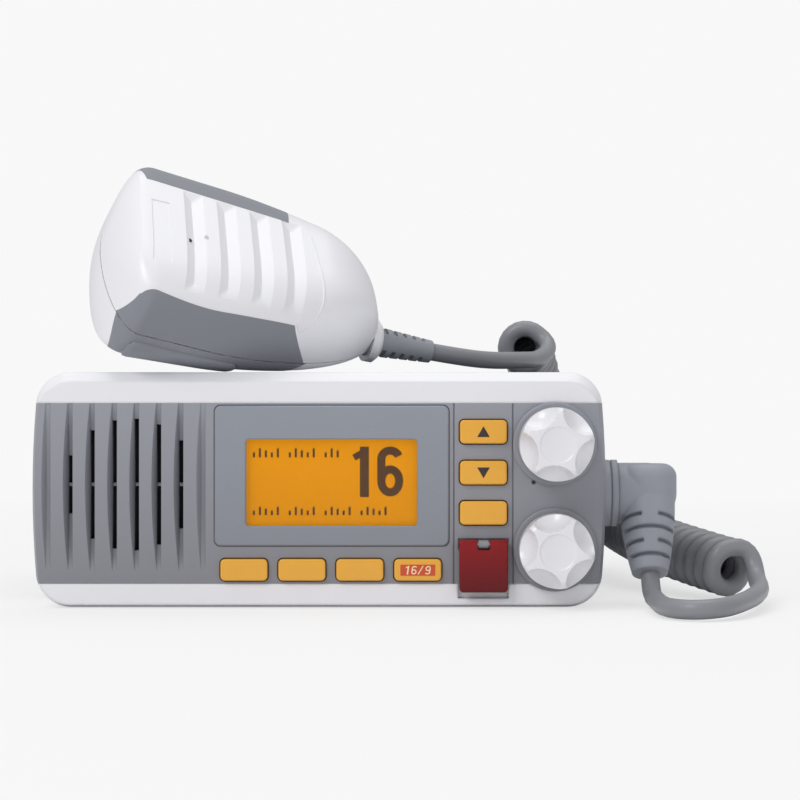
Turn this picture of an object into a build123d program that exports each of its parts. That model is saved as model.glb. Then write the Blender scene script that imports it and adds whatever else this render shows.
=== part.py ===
from build123d import *
import math
import os

os.makedirs("parts", exist_ok=True)

# A fixed-mount marine radio with a fist microphone lying on its top.
# Millimetres. X to the right, Y to the back, Z up, origin in the middle of the bottom face.

# ---- Driving dimensions: body ----
body_width = 165.0
body_height = 67.5
body_depth = 160.0
corner_radius = 10.0
side_bow = 1.9
housing_depth = 34.0
housing_wall = 2.6
face_wall = 5.0
bevel_top = 2.8
bevel_side = 1.0
bevel_low = 0.8
bevel_depth = 3.0
gasket_thickness = 1.2
gasket_width = 1.6
gasket_inset = 0.7
case_inset = 0.5
case_wall = 2.6
rear_wall = 3.0
rear_zone = 20.0

# ---- Face panel and grille ----
panel_low = 6.8
panel_high = 58.6
panel_thickness = 3.2
panel_ledge = 1.5
window_from_side = 5.0
seam_width = 0.4
seam_depth = 0.4
grille_from_side = 28.5
grille_centre_z = 35.2
grille_pad = 2.2
grille_pad_margin = 1.5
grille_pad_from_side = 5.5
grille_pad_reach = 23.0
slot_count = 6
slot_pitch = 6.35
slot_width = 1.3
slot_circle = 19.5
slot_bridge = 1.0
groove_reach = 24.6
groove_depth = 3.4
end_groove_depth = 1.6
groove_left = 2.2
groove_right = 0.8
groove_floor = 0.5

# ---- Display ----
frame_from_grille = 24.15
frame_from_column = 9.9
frame_low = 17.7
frame_high = 57.9
frame_corner = 1.8
frame_proud = 0.5
frame_sunk = 1.0
frame_edge = 0.35
window_from_frame_left = 9.05
window_from_frame_right = 9.1
window_low = 23.45
window_high = 48.2
window_corner = 1.0
lens_margin = 2.0
lens_thickness = 1.0
lens_gap = 0.2
glass_margin = 1.8
module_margin = 6.0

# ---- Keys ----
key_space = 3.1
key_height = 6.2
side_key_height = 6.8
key_corner = 1.3
key_proud = 1.3
key_edge = 0.5
key_gap = 0.3
key_ear = 1.3
key_ear_thickness = 1.0
key_ear_gap = 0.1
key_rest_gap = 0.8
row_shift = 0.15
row_end_margin = 0.75
row_count = 4
row_z = 10.85
column_from_side = 35.3
up_key_z = 50.4
down_key_z = 38.7
enter_key_z = 27.15
distress_key_width = 11.0
distress_key_height = 7.8
distress_key_z = 11.9
distress_key_proud = 0.8
mat_thickness = 1.2
mat_margin = 1.6
switch_size = 6.0

# ---- Distress cover ----
cover_width = 13.9
cover_low = 4.5
cover_height = 14.8
cover_thickness = 1.2
cover_stand = 3.4
cover_gap = 0.3
cover_side = 1.0
cover_corner = 1.2
hinge_drop = 1.1
hinge_stand = 1.9
knuckle_radius = 1.3
knuckle_width = 5.2
pin_radius = 0.6
pin_fit = 0.05
ear_radius = 1.2
ear_gap = 0.3
hinge_recess = 0.8
finger_notch_depth = 2.0
finger_notch_low = 2.6

# ---- Knobs ----
knob_from_side = 14.8
volume_z = 46.9
squelch_z = 16.65
knob_radius = 10.5
knob_height = 13.4
knob_edge = 1.0
knob_gap = 0.4
flute_count = 5
flute_radius = 6.8
flute_offset = 12.5
volume_flute_angle = 49.0
squelch_flute_angle = 28.0
dish_radius = 5.3
dish_depth = 0.5
collar_radius = 12.0
collar_thickness = 1.2
bushing_radius = 3.4
bushing_gap = 0.2
shaft_radius = 3.0
shaft_fit = 0.04
shaft_in_knob = 8.6
pot_size = 13.0
pot_shaft_depth = 2.5

# ---- Electronics ----
board_thickness = 1.6
front_board_back = 9.2
front_board_from_grille = 25.0
front_board_from_side = 5.5
front_board_low = 7.4
front_board_high = 58.0
main_board_z = 18.0
main_board_from_side = 6.5
main_board_from_front = 46.0
main_board_from_rear = 15.0
ledge_width = 8.0
ledge_height = 4.0
shield_width = 64.0
shield_depth = 46.0
shield_height = 9.0
shield_wall = 0.6
amplifier_width = 34.0
amplifier_depth = 10.0
amplifier_height = 22.0

# ---- Speaker ----
speaker_z = 33.5
speaker_radius = 22.8
speaker_rim = 2.8
speaker_rim_depth = 2.0
speaker_depth = 13.0
basket_wall = 1.0
magnet_radius = 13.0
magnet_depth = 8.0
cloth_thickness = 0.5
cone_wall = 0.5
cone_gap = 0.05
cone_neck = 6.0
cone_depth = 8.0

# ---- Rear ----
sink_half_width = 29.0
sink_low = 6.0
sink_high = 62.0
sink_base = 4.0
fin_thickness = 2.0
fin_pitch = 8.0
fin_count = 6
antenna_from_side = 27.5
antenna_z = 34.0
antenna_flange = 25.4
antenna_flange_thickness = 2.0
antenna_radius = 7.9
antenna_length = 13.0
antenna_bore = 6.0
antenna_recess = 3.0
antenna_spigot = 8.0
antenna_screw_offset = 9.1
contact_radius = 2.3
contact_bore = 1.95
contact_bore_depth = 8.0
gland_from_side = 40.5
gland_pitch = 20.0
gland_z = 22.0
gland_bore = 3.0
gland_neck = 5.0
gland_flange = 7.0
gland_flange_thickness = 2.0

# ---- Case fasteners and bottom cover ----
screw_radius = 1.5
screw_fit = 0.02
screw_length = 8.0
screw_head_radius = 2.75
screw_head_height = 2.2
screw_slot = 0.8
post_radius = 3.5
post_length = 14.0
lug_length = 4.0
post_from_side = 8.3
post_low = 9.6
post_from_top = 10.0
board_screw_from_side = 9.0
board_screw_from_front = 55.0
board_screw_from_rear = 25.0
sink_screw_x = 25.0
sink_screw_margin = 4.0
cover_plate_thickness = 1.6
cover_plate_from_side = 7.5
cover_plate_from_front = 40.0
cover_plate_from_rear = 8.0
cover_plate_gap = 0.2
cover_plate_lip = 4.0
cover_screw_inset = 4.5
cover_boss_radius = 3.6
cover_boss_height = 5.0
countersink_radius = 2.8
insert_y = 5.0
insert_z = 34.0
insert_radius = 4.5
insert_length = 9.0
insert_bore = 2.5
insert_boss = 7.0

# ---- Cord fittings on the right side ----
socket_from_front = 20.0
socket_z = 32.1
socket_radius = 9.8
socket_length = 4.6
socket_groove = 0.5
socket_bore = 6.0
boot_neck_radius = 5.8
boot_neck_length = 8.0
boot_radius = 8.9
boot_reach = 8.8
boot_crown = 8.7
boot_crown_edge = 4.0
boot_tilt = 26.0
boot_length = 25.5
boot_stem_radius = 8.3
boot_tip_radius = 5.2
boot_slot_count = 4
boot_slot_first = 9.0
boot_slot_pitch = 4.0
boot_slot_width = 1.2
boot_slot_depth = 1.5
boot_bridge_angle = 36.0

# ---- Microphone ----
mic_centre = (-25.1, -50.0, 90.1)
mic_lean = 47.7
mic_roll = 16.3
mic_yaw = 22.3
mic_length = 88.5
mic_top_width = 68.0
mic_end_width = 51.0
mic_front_top = 18.0
mic_front_end = 27.0
mic_rear_top = 20.0
mic_rear_end = 4.0
mic_round_top = 11.3
mic_round_end = 56.0
mic_outline_power = 1.85
mic_front_power = 4.0
mic_rear_power = 2.5
mic_front_top_share = 0.55
mic_rear_top_share = 0.60
mic_end_share = 0.48
mic_wall = 2.2
mic_sections = 10
end_sections = 4
oval_steps = 5
crown_share = 0.8
mic_end_margin = 0.3
mic_cavity_start = 3.5
mic_cavity_from_end = 14.5
grip_thickness = 1.4
grip_start = 8.0
grip_from_end = 30.5
grip_line_start = 26.5
grip_line_end = 21.5
mic_groove_count = 4
mic_groove_first = 21.9
mic_groove_pitch = 10.14
mic_groove_reach = 21.6
mic_groove_shorten = 0.9
mic_groove_depth = 1.5
mic_groove_left = 3.4
mic_groove_right = 2.6
mic_face_shift = -6.3
plate_s = 11.2
plate_width = 5.0
plate_length = 27.0
plate_depth = 0.2
mic_hole_s = 19.6
mic_hole_v = -8.0
mic_hole_radius = 0.8
capsule_radius = 4.2
ptt_start = 10.0
ptt_from_end = 44.5
ptt_front = -2.5
ptt_rear_start = -12.0
ptt_rear_end = -7.5
ptt_post_gap = 0.3
ptt_corner = 2.6
ptt_proud = 0.6
ptt_gap = 0.3
ptt_flange = 0.9
ptt_flange_gap = 0.15
ptt_flange_thickness = 0.9
ptt_travel = 1.4
ptt_switch_v = 22.6
ptt_switch_size = 6.0
ptt_switch_depth = 7.0
ptt_switch_s = 28.0
mic_board_start = 9.0
mic_board_from_end = 31.5
mic_board_half_start = 28.3
mic_board_half_end = 21.8
mic_board_level = -1.0
mic_post_radius = 4.6
mic_post_start = 14.0
mic_post_from_end = 36.5
mic_post_v = 15.0
mic_screw_radius = 1.25
mic_screw_seat = 5.0
mic_screw_reach = 8.0
mic_head_radius = 2.6
mic_head_height = 1.8
mic_head_gap = 0.3
stud_s = 32.0
stud_neck_radius = 5.0
stud_neck_length = 3.0
stud_head_radius = 8.0
stud_head_height = 2.5
stud_seat_depth = 0.6
stud_spigot_radius = 2.0
stud_spigot_length = 4.0
stud_boss_radius = 6.5

# ---- Cord ----
cord_radius = 2.7
coil_radius = 9.0
mic_boot_root = 5.0
mic_boot_tip = 3.5
mic_boot_length = 24.0
mic_boot_inside = 4.0
mic_boot_slot_count = 5
mic_boot_slot_pitch = 3.2
mic_boot_slot_first = 3.0
mic_boot_slot_width = 1.3
mic_boot_slot_depth = 1.0
mic_boot_direction = (0.908, 0.383, -0.161)
run_share = 0.45
wire_right = 4.0
wire_down = 4.9
mic_lead_first_run = 12.0
mic_lead_last_run = 14.0
mic_lead_route = [(55.0, -14.0, 70.5), (65.0, -2.5, 70.4)]
coil_from_side = [
    (-17.7, 30.0, 76.9),
    (-17.0, 60.0, 77.1),
    (-13.5, 88.0, 77.0),
    (-7.5, 106.0, 58.0),
    (1.5, 104.0, 35.0),
    (10.0, 84.0, 23.0),
    (12.0, 50.0, 20.0),
    (15.0, 16.0, 17.5),
    (24.5, -18.0, 13.0),
    (40.0, -52.0, 9.3),
]
radio_lead_first_run = 4.0
radio_lead_last_run = 9.0
radio_lead_from_socket = [
    (13.6, -17.5, 2.75),
    (13.7, -26.0, 2.75),
    (13.5, -40.5, 2.75),
    (13.8, -55.0, 2.75),
    (21.3, -61.6, 2.8),
    (30.2, -59.2, 3.5),
    (33.8, -50.0, 4.3),
    (38.0, -33.5, 4.9),
    (43.0, -15.0, 4.6),
]

# ---- Levels worked out from the sizes above ----
front_y = -body_depth / 2
rear_face_y = body_depth / 2 - rear_zone + rear_wall
housing_back_y = front_y + housing_depth
case_front_y = housing_back_y + gasket_thickness
case_inner_back_y = rear_face_y - rear_wall
panel_back_y = front_y + panel_thickness
grille_back_y = panel_back_y + grille_pad
ear_front_y = panel_back_y + key_ear_gap
ear_back_y = ear_front_y + key_ear_thickness
mat_front_y = ear_back_y + key_rest_gap
mat_back_y = mat_front_y + mat_thickness
front_board_y = front_y + front_board_back
collar_front_y = front_y - collar_thickness
knob_base_y = collar_front_y - knob_gap
knob_face_y = knob_base_y - knob_height
frame_front_y = front_y - frame_proud
frame_back_y = front_y + frame_sunk
lens_back_y = frame_back_y + lens_thickness
cover_front_y = front_y - cover_stand
hinge_y = front_y - hinge_stand
hinge_z = cover_low + cover_height - hinge_drop
side_x = body_width / 2
window_half_width = side_x - window_from_side
grille_centre_x = grille_from_side - side_x
grille_pad_left = grille_pad_from_side - side_x
grille_pad_right = grille_centre_x + grille_pad_reach
column_x = side_x - column_from_side
knob_x = side_x - knob_from_side
frame_left = grille_centre_x + frame_from_grille
frame_right = column_x - frame_from_column
window_left = frame_left + window_from_frame_left
window_right = frame_right - window_from_frame_right
row_pitch = (frame_right - frame_left - row_end_margin) / row_count
row_first_x = frame_left + row_pitch / 2 + row_shift
key_width = row_pitch - key_space
front_board_left = grille_centre_x + front_board_from_grille
front_board_right = side_x - front_board_from_side
main_board_half_width = side_x - main_board_from_side
main_board_front = front_y + main_board_from_front
main_board_back = rear_face_y - main_board_from_rear
antenna_x = antenna_from_side - side_x
gland_x = side_x - gland_from_side
post_x = side_x - post_from_side
post_high = body_height - post_from_top
board_screw_x = side_x - board_screw_from_side
board_screw_front = front_y + board_screw_from_front
board_screw_back = rear_face_y - board_screw_from_rear
cover_plate_half_width = side_x - cover_plate_from_side
cover_plate_front = front_y + cover_plate_from_front
cover_plate_back = rear_face_y - cover_plate_from_rear
socket_y = front_y + socket_from_front
grip_end = mic_length - grip_from_end
mic_cavity_end = mic_length - mic_cavity_from_end
mic_board_end = mic_length - mic_board_from_end
mic_post_end = mic_length - mic_post_from_end
ptt_end = mic_length - ptt_from_end
ptt_inside = mic_post_v + mic_post_radius + ptt_travel + ptt_post_gap
coil_route = [(side_x + x, y, z) for x, y, z in coil_from_side]
radio_lead_route = [(side_x + x, socket_y + y, z) for x, y, z in radio_lead_from_socket]
row_keys = [row_first_x + row_pitch * index for index in range(row_count)]
column_keys = {"key_up": up_key_z, "key_down": down_key_z, "key_enter": enter_key_z}
knob_heights = {"volume": volume_z, "squelch": squelch_z}
knob_angles = {"volume": volume_flute_angle, "squelch": squelch_flute_angle}


# ---- Helpers ----
def facing(y):
    """A plane at depth y whose sketch axes are X and Z and whose normal points to the front."""
    return Plane(origin=(0, y, 0), x_dir=(1, 0, 0), z_dir=(0, -1, 0))


def level(z):
    """A horizontal plane at height z."""
    return Plane.XY.offset(z)


def finish(block, name):
    """Label a finished piece and write it."""
    block.part.label = name
    export_step(block.part, f"parts/{name}.step")


def body_outline(top, side, low):
    """The body's outline with bowed sides and round corners, drawn inside the full one."""
    half = body_width / 2 - side_bow - side
    crown = body_height - top
    with BuildSketch(Plane.XY) as outline:
        with BuildLine():
            Line((-half, low), (half, low))
            ThreePointArc((half, low), (half + side_bow, (low + crown) / 2), (half, crown))
            Line((half, crown), (-half, crown))
            ThreePointArc((-half, crown), (-half - side_bow, (low + crown) / 2), (-half, low))
        make_face()
        fillet(vertices(), radius=corner_radius - side)
    return outline.sketch


def span_rectangle(left, right, low, high):
    """A rectangle between its four edges."""
    with Locations(((left + right) / 2, (low + high) / 2)):
        Rectangle(right - left, high - low)


def span_rounded(left, right, low, high, radius):
    """A rectangle with round corners between its four edges."""
    with Locations(((left + right) / 2, (low + high) / 2)):
        RectangleRounded(right - left, high - low, radius)


def front_block(depth):
    """The body's front with its bevelled rim, from the face back to depth."""
    with BuildPart() as block:
        with BuildSketch(facing(front_y)):
            add(body_outline(bevel_top, bevel_side, bevel_low))
        with BuildSketch(facing(front_y + bevel_depth)):
            add(body_outline(0, 0, 0))
        loft(ruled=True)
        with BuildSketch(facing(front_y + bevel_depth)):
            add(body_outline(0, 0, 0))
        extrude(amount=bevel_depth - depth)
    return block.part


def screw_posts(start_y, length):
    """Four round posts in the corners of the body."""
    with BuildPart() as posts:
        with BuildSketch(facing(start_y)):
            with Locations(*[(x, z) for x in (-post_x, post_x) for z in (post_low, post_high)]):
                Circle(post_radius)
        extrude(amount=-length)
    return posts.part


# ================= Front housing =================
# The white moulding that carries the face panel, open at the back.
with BuildPart() as front_housing:
    add(front_block(housing_depth))
    with BuildSketch(facing(front_y + face_wall)):
        add(body_outline(housing_wall, housing_wall, housing_wall))
    extrude(amount=face_wall - housing_depth, mode=Mode.SUBTRACT)
    add(screw_posts(housing_back_y - post_length, post_length))
    with BuildSketch(facing(front_y)):
        span_rectangle(-body_width, body_width, panel_low, panel_high)
    extrude(amount=-panel_thickness, mode=Mode.SUBTRACT)
    with BuildSketch(facing(front_y)):
        span_rectangle(-window_half_width, window_half_width, panel_low, panel_high - panel_ledge)
    extrude(amount=-face_wall, mode=Mode.SUBTRACT)
    with BuildSketch(facing(front_y)):
        span_rectangle(
            column_x - cover_width / 2 - cover_gap,
            column_x + cover_width / 2 + cover_gap,
            finger_notch_low,
            panel_low,
        )
    extrude(amount=-finger_notch_depth, mode=Mode.SUBTRACT)
    with BuildSketch(facing(housing_back_y)):
        with Locations(*[(x, z) for x in (-post_x, post_x) for z in (post_low, post_high)]):
            Circle(screw_radius + screw_fit)
    extrude(amount=post_length - panel_thickness, mode=Mode.SUBTRACT)
    with BuildSketch(Plane(origin=(side_x, socket_y, socket_z), x_dir=(0, 1, 0), z_dir=(1, 0, 0))):
        Circle(socket_bore)
    extrude(amount=-boot_neck_length, mode=Mode.SUBTRACT)
finish(front_housing, "front_housing")


# ================= Face panel =================
# The gray panel: grille on the left, display opening, key openings and knob holes.
def grille_cutter(x, depth):
    """A scooped groove: a steep right wall, a sloping left wall and a floor bent to an arc."""
    reach_squared = groove_reach ** 2
    radius = (reach_squared + depth ** 2) / (2 * depth)
    centre_y = front_y + depth - radius
    surface = radius - depth - frame_proud
    with BuildPart() as cutter:
        with BuildSketch(Plane(origin=(0, centre_y, grille_centre_z), z_dir=(0, 0, 1))):
            with BuildLine():
                Polyline(
                    (x - groove_left, surface),
                    (x - groove_floor, radius),
                    (x + groove_right, radius),
                    (x + groove_right, surface),
                    close=True,
                )
            make_face()
        revolve(axis=Axis((0, centre_y, grille_centre_z), (1, 0, 0)))
    return cutter.part


slot_first_x = grille_centre_x - slot_pitch * (slot_count - 1) / 2 - groove_floor * slot_count / 2
slot_places = [slot_first_x + slot_pitch * index for index in range(slot_count)]
groove_places = [(x, groove_depth) for x in slot_places]
groove_places.append((slot_places[0] - slot_pitch, end_groove_depth))
groove_places.append((slot_places[-1] + slot_pitch, end_groove_depth))
grille_cutters = [grille_cutter(x, depth) for x, depth in groove_places]
panel_blank = front_block(bevel_depth + panel_thickness)

with BuildPart() as face_panel:
    add(panel_blank)
    with BuildSketch(facing(front_y - panel_thickness)):
        span_rectangle(-body_width, body_width, panel_low, panel_high)
    extrude(amount=-2 * panel_thickness, mode=Mode.INTERSECT)
    with BuildSketch(facing(panel_back_y)):
        span_rectangle(
            grille_pad_left,
            grille_pad_right,
            panel_low + grille_pad_margin,
            panel_high - panel_ledge - grille_pad_margin,
        )
    extrude(amount=-grille_pad)
    for cutter in grille_cutters:
        add(cutter, mode=Mode.SUBTRACT)
    for x in slot_places:
        reach = math.sqrt(max(slot_circle ** 2 - (x - grille_centre_x) ** 2, 4 * slot_bridge ** 2))
        with BuildSketch(facing(front_y)):
            with Locations((x, grille_centre_z + reach / 2), (x, grille_centre_z - reach / 2)):
                Rectangle(slot_width, reach - slot_bridge)
        extrude(amount=-(panel_thickness + grille_pad), mode=Mode.SUBTRACT)
    with BuildSketch(facing(front_y)):
        span_rounded(
            frame_left - lens_gap,
            frame_right + lens_gap,
            frame_low - lens_gap,
            frame_high + lens_gap,
            frame_corner,
        )
    extrude(amount=-frame_sunk, mode=Mode.SUBTRACT)
    with BuildSketch(facing(front_y)):
        span_rectangle(
            window_left - lens_margin - lens_gap,
            window_right + lens_margin + lens_gap,
            window_low - lens_margin - lens_gap,
            window_high + lens_margin + lens_gap,
        )
        with Locations(*[(x, row_z) for x in row_keys]):
            RectangleRounded(key_width + 2 * key_gap, key_height + 2 * key_gap, key_corner + key_gap)
        with Locations(*[(column_x, z) for z in column_keys.values()]):
            RectangleRounded(key_width + 2 * key_gap, side_key_height + 2 * key_gap, key_corner + key_gap)
        with Locations((column_x, distress_key_z)):
            Rectangle(distress_key_width + 2 * key_gap, distress_key_height + 2 * key_gap)
        with Locations(*[(knob_x, z) for z in knob_heights.values()]):
            Circle(bushing_radius + bushing_gap)
    extrude(amount=-panel_thickness, mode=Mode.SUBTRACT)
    seam_offset = key_width / 2 + key_ear + seam_width
    with BuildSketch(facing(front_y)):
        for x in (column_x - seam_offset, column_x + seam_offset):
            span_rectangle(x - seam_width / 2, x + seam_width / 2, panel_low, panel_high)
    extrude(amount=-seam_depth, mode=Mode.SUBTRACT)
    with BuildSketch(facing(front_y)):
        span_rectangle(
            column_x - cover_width / 2 - cover_gap,
            column_x + cover_width / 2 + cover_gap,
            hinge_z - knuckle_radius - cover_gap,
            hinge_z + knuckle_radius + cover_gap,
        )
    extrude(amount=-hinge_recess, mode=Mode.SUBTRACT)
    ear_half = cover_width / 2 - knuckle_width - ear_gap
    with BuildSketch(Plane(origin=(column_x - ear_half, 0, 0), x_dir=(0, 1, 0), z_dir=(1, 0, 0))):
        with Locations((hinge_y, hinge_z)):
            Circle(ear_radius)
        span_rectangle(hinge_y, front_y + hinge_recess, hinge_z - ear_radius, hinge_z + ear_radius)
        with Locations((hinge_y, hinge_z)):
            Circle(pin_radius, mode=Mode.SUBTRACT)
    extrude(amount=2 * ear_half)
finish(face_panel, "face_panel")

# ================= Display =================
with BuildPart() as display_frame:
    with BuildSketch(facing(frame_front_y)):
        span_rounded(frame_left, frame_right, frame_low, frame_high, frame_corner)
        with Locations(
            (
                (window_left + window_right) / 2,
                (window_low + window_high) / 2,
            )
        ):
            RectangleRounded(
                window_right - window_left, window_high - window_low, window_corner, mode=Mode.SUBTRACT
            )
    extrude(amount=-(frame_proud + frame_sunk))
    chamfer(faces().sort_by(Axis.Y)[0].edges(), length=frame_edge)
finish(display_frame, "display_frame")


def window_slab(start_y, thickness, margin):
    """A flat slab behind the display window, larger than it by margin."""
    with BuildPart() as slab:
        with BuildSketch(facing(start_y)):
            span_rectangle(
                window_left - margin, window_right + margin, window_low - margin, window_high + margin
            )
        extrude(amount=-thickness)
    return slab


display_lens = window_slab(frame_back_y, lens_thickness, lens_margin)
finish(display_lens, "display_lens")
lcd_glass = window_slab(lens_back_y, panel_back_y - lens_back_y, glass_margin)
finish(lcd_glass, "lcd_glass")
lcd_module = window_slab(panel_back_y, front_board_y - panel_back_y, module_margin)
finish(lcd_module, "lcd_module")


# ================= Keys =================
def key_piece(x, z, width, height, proud, corner):
    """A key cap with an ear on each side that keeps it behind the panel."""
    with BuildPart() as key:
        with BuildSketch(facing(front_y - proud)):
            with Locations((x, z)):
                RectangleRounded(width, height, corner)
        extrude(amount=-(proud + ear_back_y - front_y))
        fillet(faces().sort_by(Axis.Y)[0].edges(), radius=key_edge)
        with BuildSketch(facing(ear_front_y)):
            with Locations((x, z)):
                Rectangle(width + 2 * key_ear, height - 2 * key_edge)
        extrude(amount=-key_ear_thickness)
    return key


for index, x in enumerate(row_keys):
    name = f"key_{index + 1}"
    finish(key_piece(x, row_z, key_width, key_height, key_proud, key_corner), name)
for name, z in column_keys.items():
    finish(key_piece(column_x, z, key_width, side_key_height, key_proud, key_corner), name)
distress_key = key_piece(
    column_x, distress_key_z, distress_key_width, distress_key_height, distress_key_proud, key_corner
)
finish(distress_key, "distress_key")

# The rubber mat behind the keys: a strip under the display and a column beside it.
key_places = [(x, row_z) for x in row_keys]
key_places += [(column_x, z) for z in column_keys.values()]
key_places.append((column_x, distress_key_z))
mat_low = row_z - key_height / 2 - key_ear_gap
with BuildPart() as keypad_mat:
    with BuildSketch(facing(mat_front_y)):
        span_rectangle(
            row_keys[0] - key_width / 2 - mat_margin,
            column_x + key_width / 2 + mat_margin,
            mat_low,
            window_low - module_margin - mat_margin / 2,
        )
        span_rectangle(
            column_x - key_width / 2 - mat_margin,
            column_x + key_width / 2 + mat_margin,
            mat_low,
            up_key_z + side_key_height / 2 + mat_margin,
        )
    extrude(amount=-mat_thickness)
finish(keypad_mat, "keypad_mat")

with BuildPart() as key_switches:
    with BuildSketch(facing(mat_back_y)):
        with Locations(*key_places):
            Rectangle(switch_size, switch_size)
    extrude(amount=mat_back_y - front_board_y)
finish(key_switches, "key_switches")

with BuildPart() as front_board:
    with BuildSketch(facing(front_board_y)):
        span_rectangle(front_board_left, front_board_right, front_board_low, front_board_high)
    extrude(amount=-board_thickness)
finish(front_board, "front_board")

# ================= Distress cover =================
# A clear red flap, hinged at its top on a pin that an ear of the face panel holds.
cover_left = column_x - cover_width / 2
cover_right = column_x + cover_width / 2
cover_top = cover_low + cover_height
with BuildPart() as distress_cover:
    with BuildSketch(facing(cover_front_y)):
        span_rounded(cover_left, cover_right, cover_low, cover_top, cover_corner)
    extrude(amount=-cover_thickness)
    fillet(faces().sort_by(Axis.Y)[0].edges(), radius=key_edge)
    with BuildSketch(facing(cover_front_y + cover_thickness)):
        span_rectangle(cover_left, cover_left + cover_side, cover_low + cover_corner, hinge_z - cover_side)
        span_rectangle(cover_right - cover_side, cover_right, cover_low + cover_corner, hinge_z - cover_side)
    extrude(amount=-(cover_stand - cover_thickness - cover_gap))
    with BuildSketch(Plane(origin=(cover_left, 0, 0), x_dir=(0, 1, 0), z_dir=(1, 0, 0))):
        with Locations((hinge_y, hinge_z)):
            Circle(knuckle_radius)
    extrude(amount=cover_width)
    with BuildSketch(facing(cover_front_y)):
        span_rectangle(
            cover_left + knuckle_width,
            cover_right - knuckle_width,
            hinge_z - ear_radius - ear_gap,
            cover_top + cover_side,
        )
    extrude(amount=-cover_stand, mode=Mode.SUBTRACT)
    with BuildSketch(Plane(origin=(cover_left, 0, 0), x_dir=(0, 1, 0), z_dir=(1, 0, 0))):
        with Locations((hinge_y, hinge_z)):
            Circle(pin_radius + pin_fit)
    extrude(amount=cover_width, mode=Mode.SUBTRACT)
finish(distress_cover, "distress_cover")

with BuildPart() as hinge_pin:
    with BuildSketch(Plane(origin=(cover_left + ear_gap, 0, 0), x_dir=(0, 1, 0), z_dir=(1, 0, 0))):
        with Locations((hinge_y, hinge_z)):
            Circle(pin_radius)
    extrude(amount=cover_width - 2 * ear_gap)
finish(hinge_pin, "hinge_pin")

# ================= Knobs, shafts, collars and potentiometers =================
with BuildPart() as knob_collars:
    with BuildSketch(facing(front_y)):
        with Locations(*[(knob_x, z) for z in knob_heights.values()]):
            Circle(collar_radius)
            Circle(bushing_radius + bushing_gap, mode=Mode.SUBTRACT)
    extrude(amount=collar_thickness)
    chamfer(faces().sort_by(Axis.Y)[0:2].edges().sort_by(SortBy.RADIUS)[-2:], length=frame_edge)
finish(knob_collars, "knob_collars")


def knob_piece(z, flute_angle):
    """A round knob whose front is scooped into a star, with a shallow dish in the middle."""
    dish_sphere = (dish_radius ** 2 + dish_depth ** 2) / (2 * dish_depth)
    with BuildPart() as knob:
        with BuildSketch(facing(knob_base_y)):
            with Locations((knob_x, z)):
                Circle(knob_radius)
        extrude(amount=knob_height)
        fillet(faces().sort_by(Axis.Y)[0].edges(), radius=knob_edge)
        for index in range(flute_count):
            angle = math.radians(flute_angle + 360 * index / flute_count)
            flute_x = knob_x + flute_offset * math.cos(angle)
            flute_z = z + flute_offset * math.sin(angle)
            with Locations((flute_x, knob_face_y, flute_z)):
                Sphere(flute_radius, mode=Mode.SUBTRACT)
        with Locations((knob_x, knob_face_y + dish_depth - dish_sphere, z)):
            Sphere(dish_sphere, mode=Mode.SUBTRACT)
        with BuildSketch(facing(knob_base_y)):
            with Locations((knob_x, z)):
                Circle(shaft_radius - shaft_fit)
        extrude(amount=shaft_in_knob, mode=Mode.SUBTRACT)
    return knob


def shaft_piece(z):
    """The turning shaft, from inside its potentiometer to inside the knob."""
    back_y = front_board_y - (front_board_y - panel_back_y) + pot_shaft_depth
    with BuildPart() as shaft:
        with BuildSketch(facing(back_y)):
            with Locations((knob_x, z)):
                Circle(shaft_radius - shaft_fit)
        extrude(amount=back_y - knob_base_y + shaft_in_knob)
    return shaft


def pot_piece(z):
    """A potentiometer on the front board with its bushing through the panel."""
    body_y = panel_back_y + lens_gap
    with BuildPart() as pot:
        with BuildSketch(facing(body_y)):
            with Locations((knob_x, z)):
                Rectangle(pot_size, pot_size)
        extrude(amount=body_y - front_board_y)
        with BuildSketch(facing(body_y)):
            with Locations((knob_x, z)):
                Circle(bushing_radius)
        extrude(amount=body_y - collar_front_y)
        with BuildSketch(facing(panel_back_y + pot_shaft_depth)):
            with Locations((knob_x, z)):
                Circle(shaft_radius)
        extrude(amount=panel_back_y + pot_shaft_depth - knob_base_y, mode=Mode.SUBTRACT)
    return pot


for name, z in knob_heights.items():
    finish(knob_piece(z, knob_angles[name]), f"{name}_knob")
    finish(shaft_piece(z), f"{name}_shaft")
    finish(pot_piece(z), f"{name}_pot")

# ================= Speaker =================
with BuildPart() as speaker_cloth:
    with BuildSketch(facing(grille_back_y)):
        with Locations((grille_centre_x, speaker_z)):
            Circle(speaker_radius)
    extrude(amount=-cloth_thickness)
finish(speaker_cloth, "speaker_cloth")

rim_y = grille_back_y + cloth_thickness
basket_back_y = rim_y + speaker_depth
speaker_axis = Axis((grille_centre_x, 0, speaker_z), (0, 1, 0))
speaker_plane = Plane(origin=(grille_centre_x, 0, speaker_z), x_dir=(1, 0, 0), z_dir=(0, 0, 1))
rim_inner = speaker_radius - speaker_rim

with BuildPart() as speaker_frame:
    with BuildSketch(speaker_plane):
        with BuildLine():
            Polyline(
                (rim_inner, rim_y),
                (speaker_radius, rim_y),
                (speaker_radius, rim_y + speaker_rim_depth),
                (magnet_radius + basket_wall, basket_back_y),
                (cone_neck, basket_back_y),
                (cone_neck, basket_back_y - basket_wall),
                (magnet_radius, basket_back_y - basket_wall),
                (rim_inner, rim_y + speaker_rim_depth),
                close=True,
            )
        make_face()
    revolve(axis=speaker_axis)
finish(speaker_frame, "speaker_frame")

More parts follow.
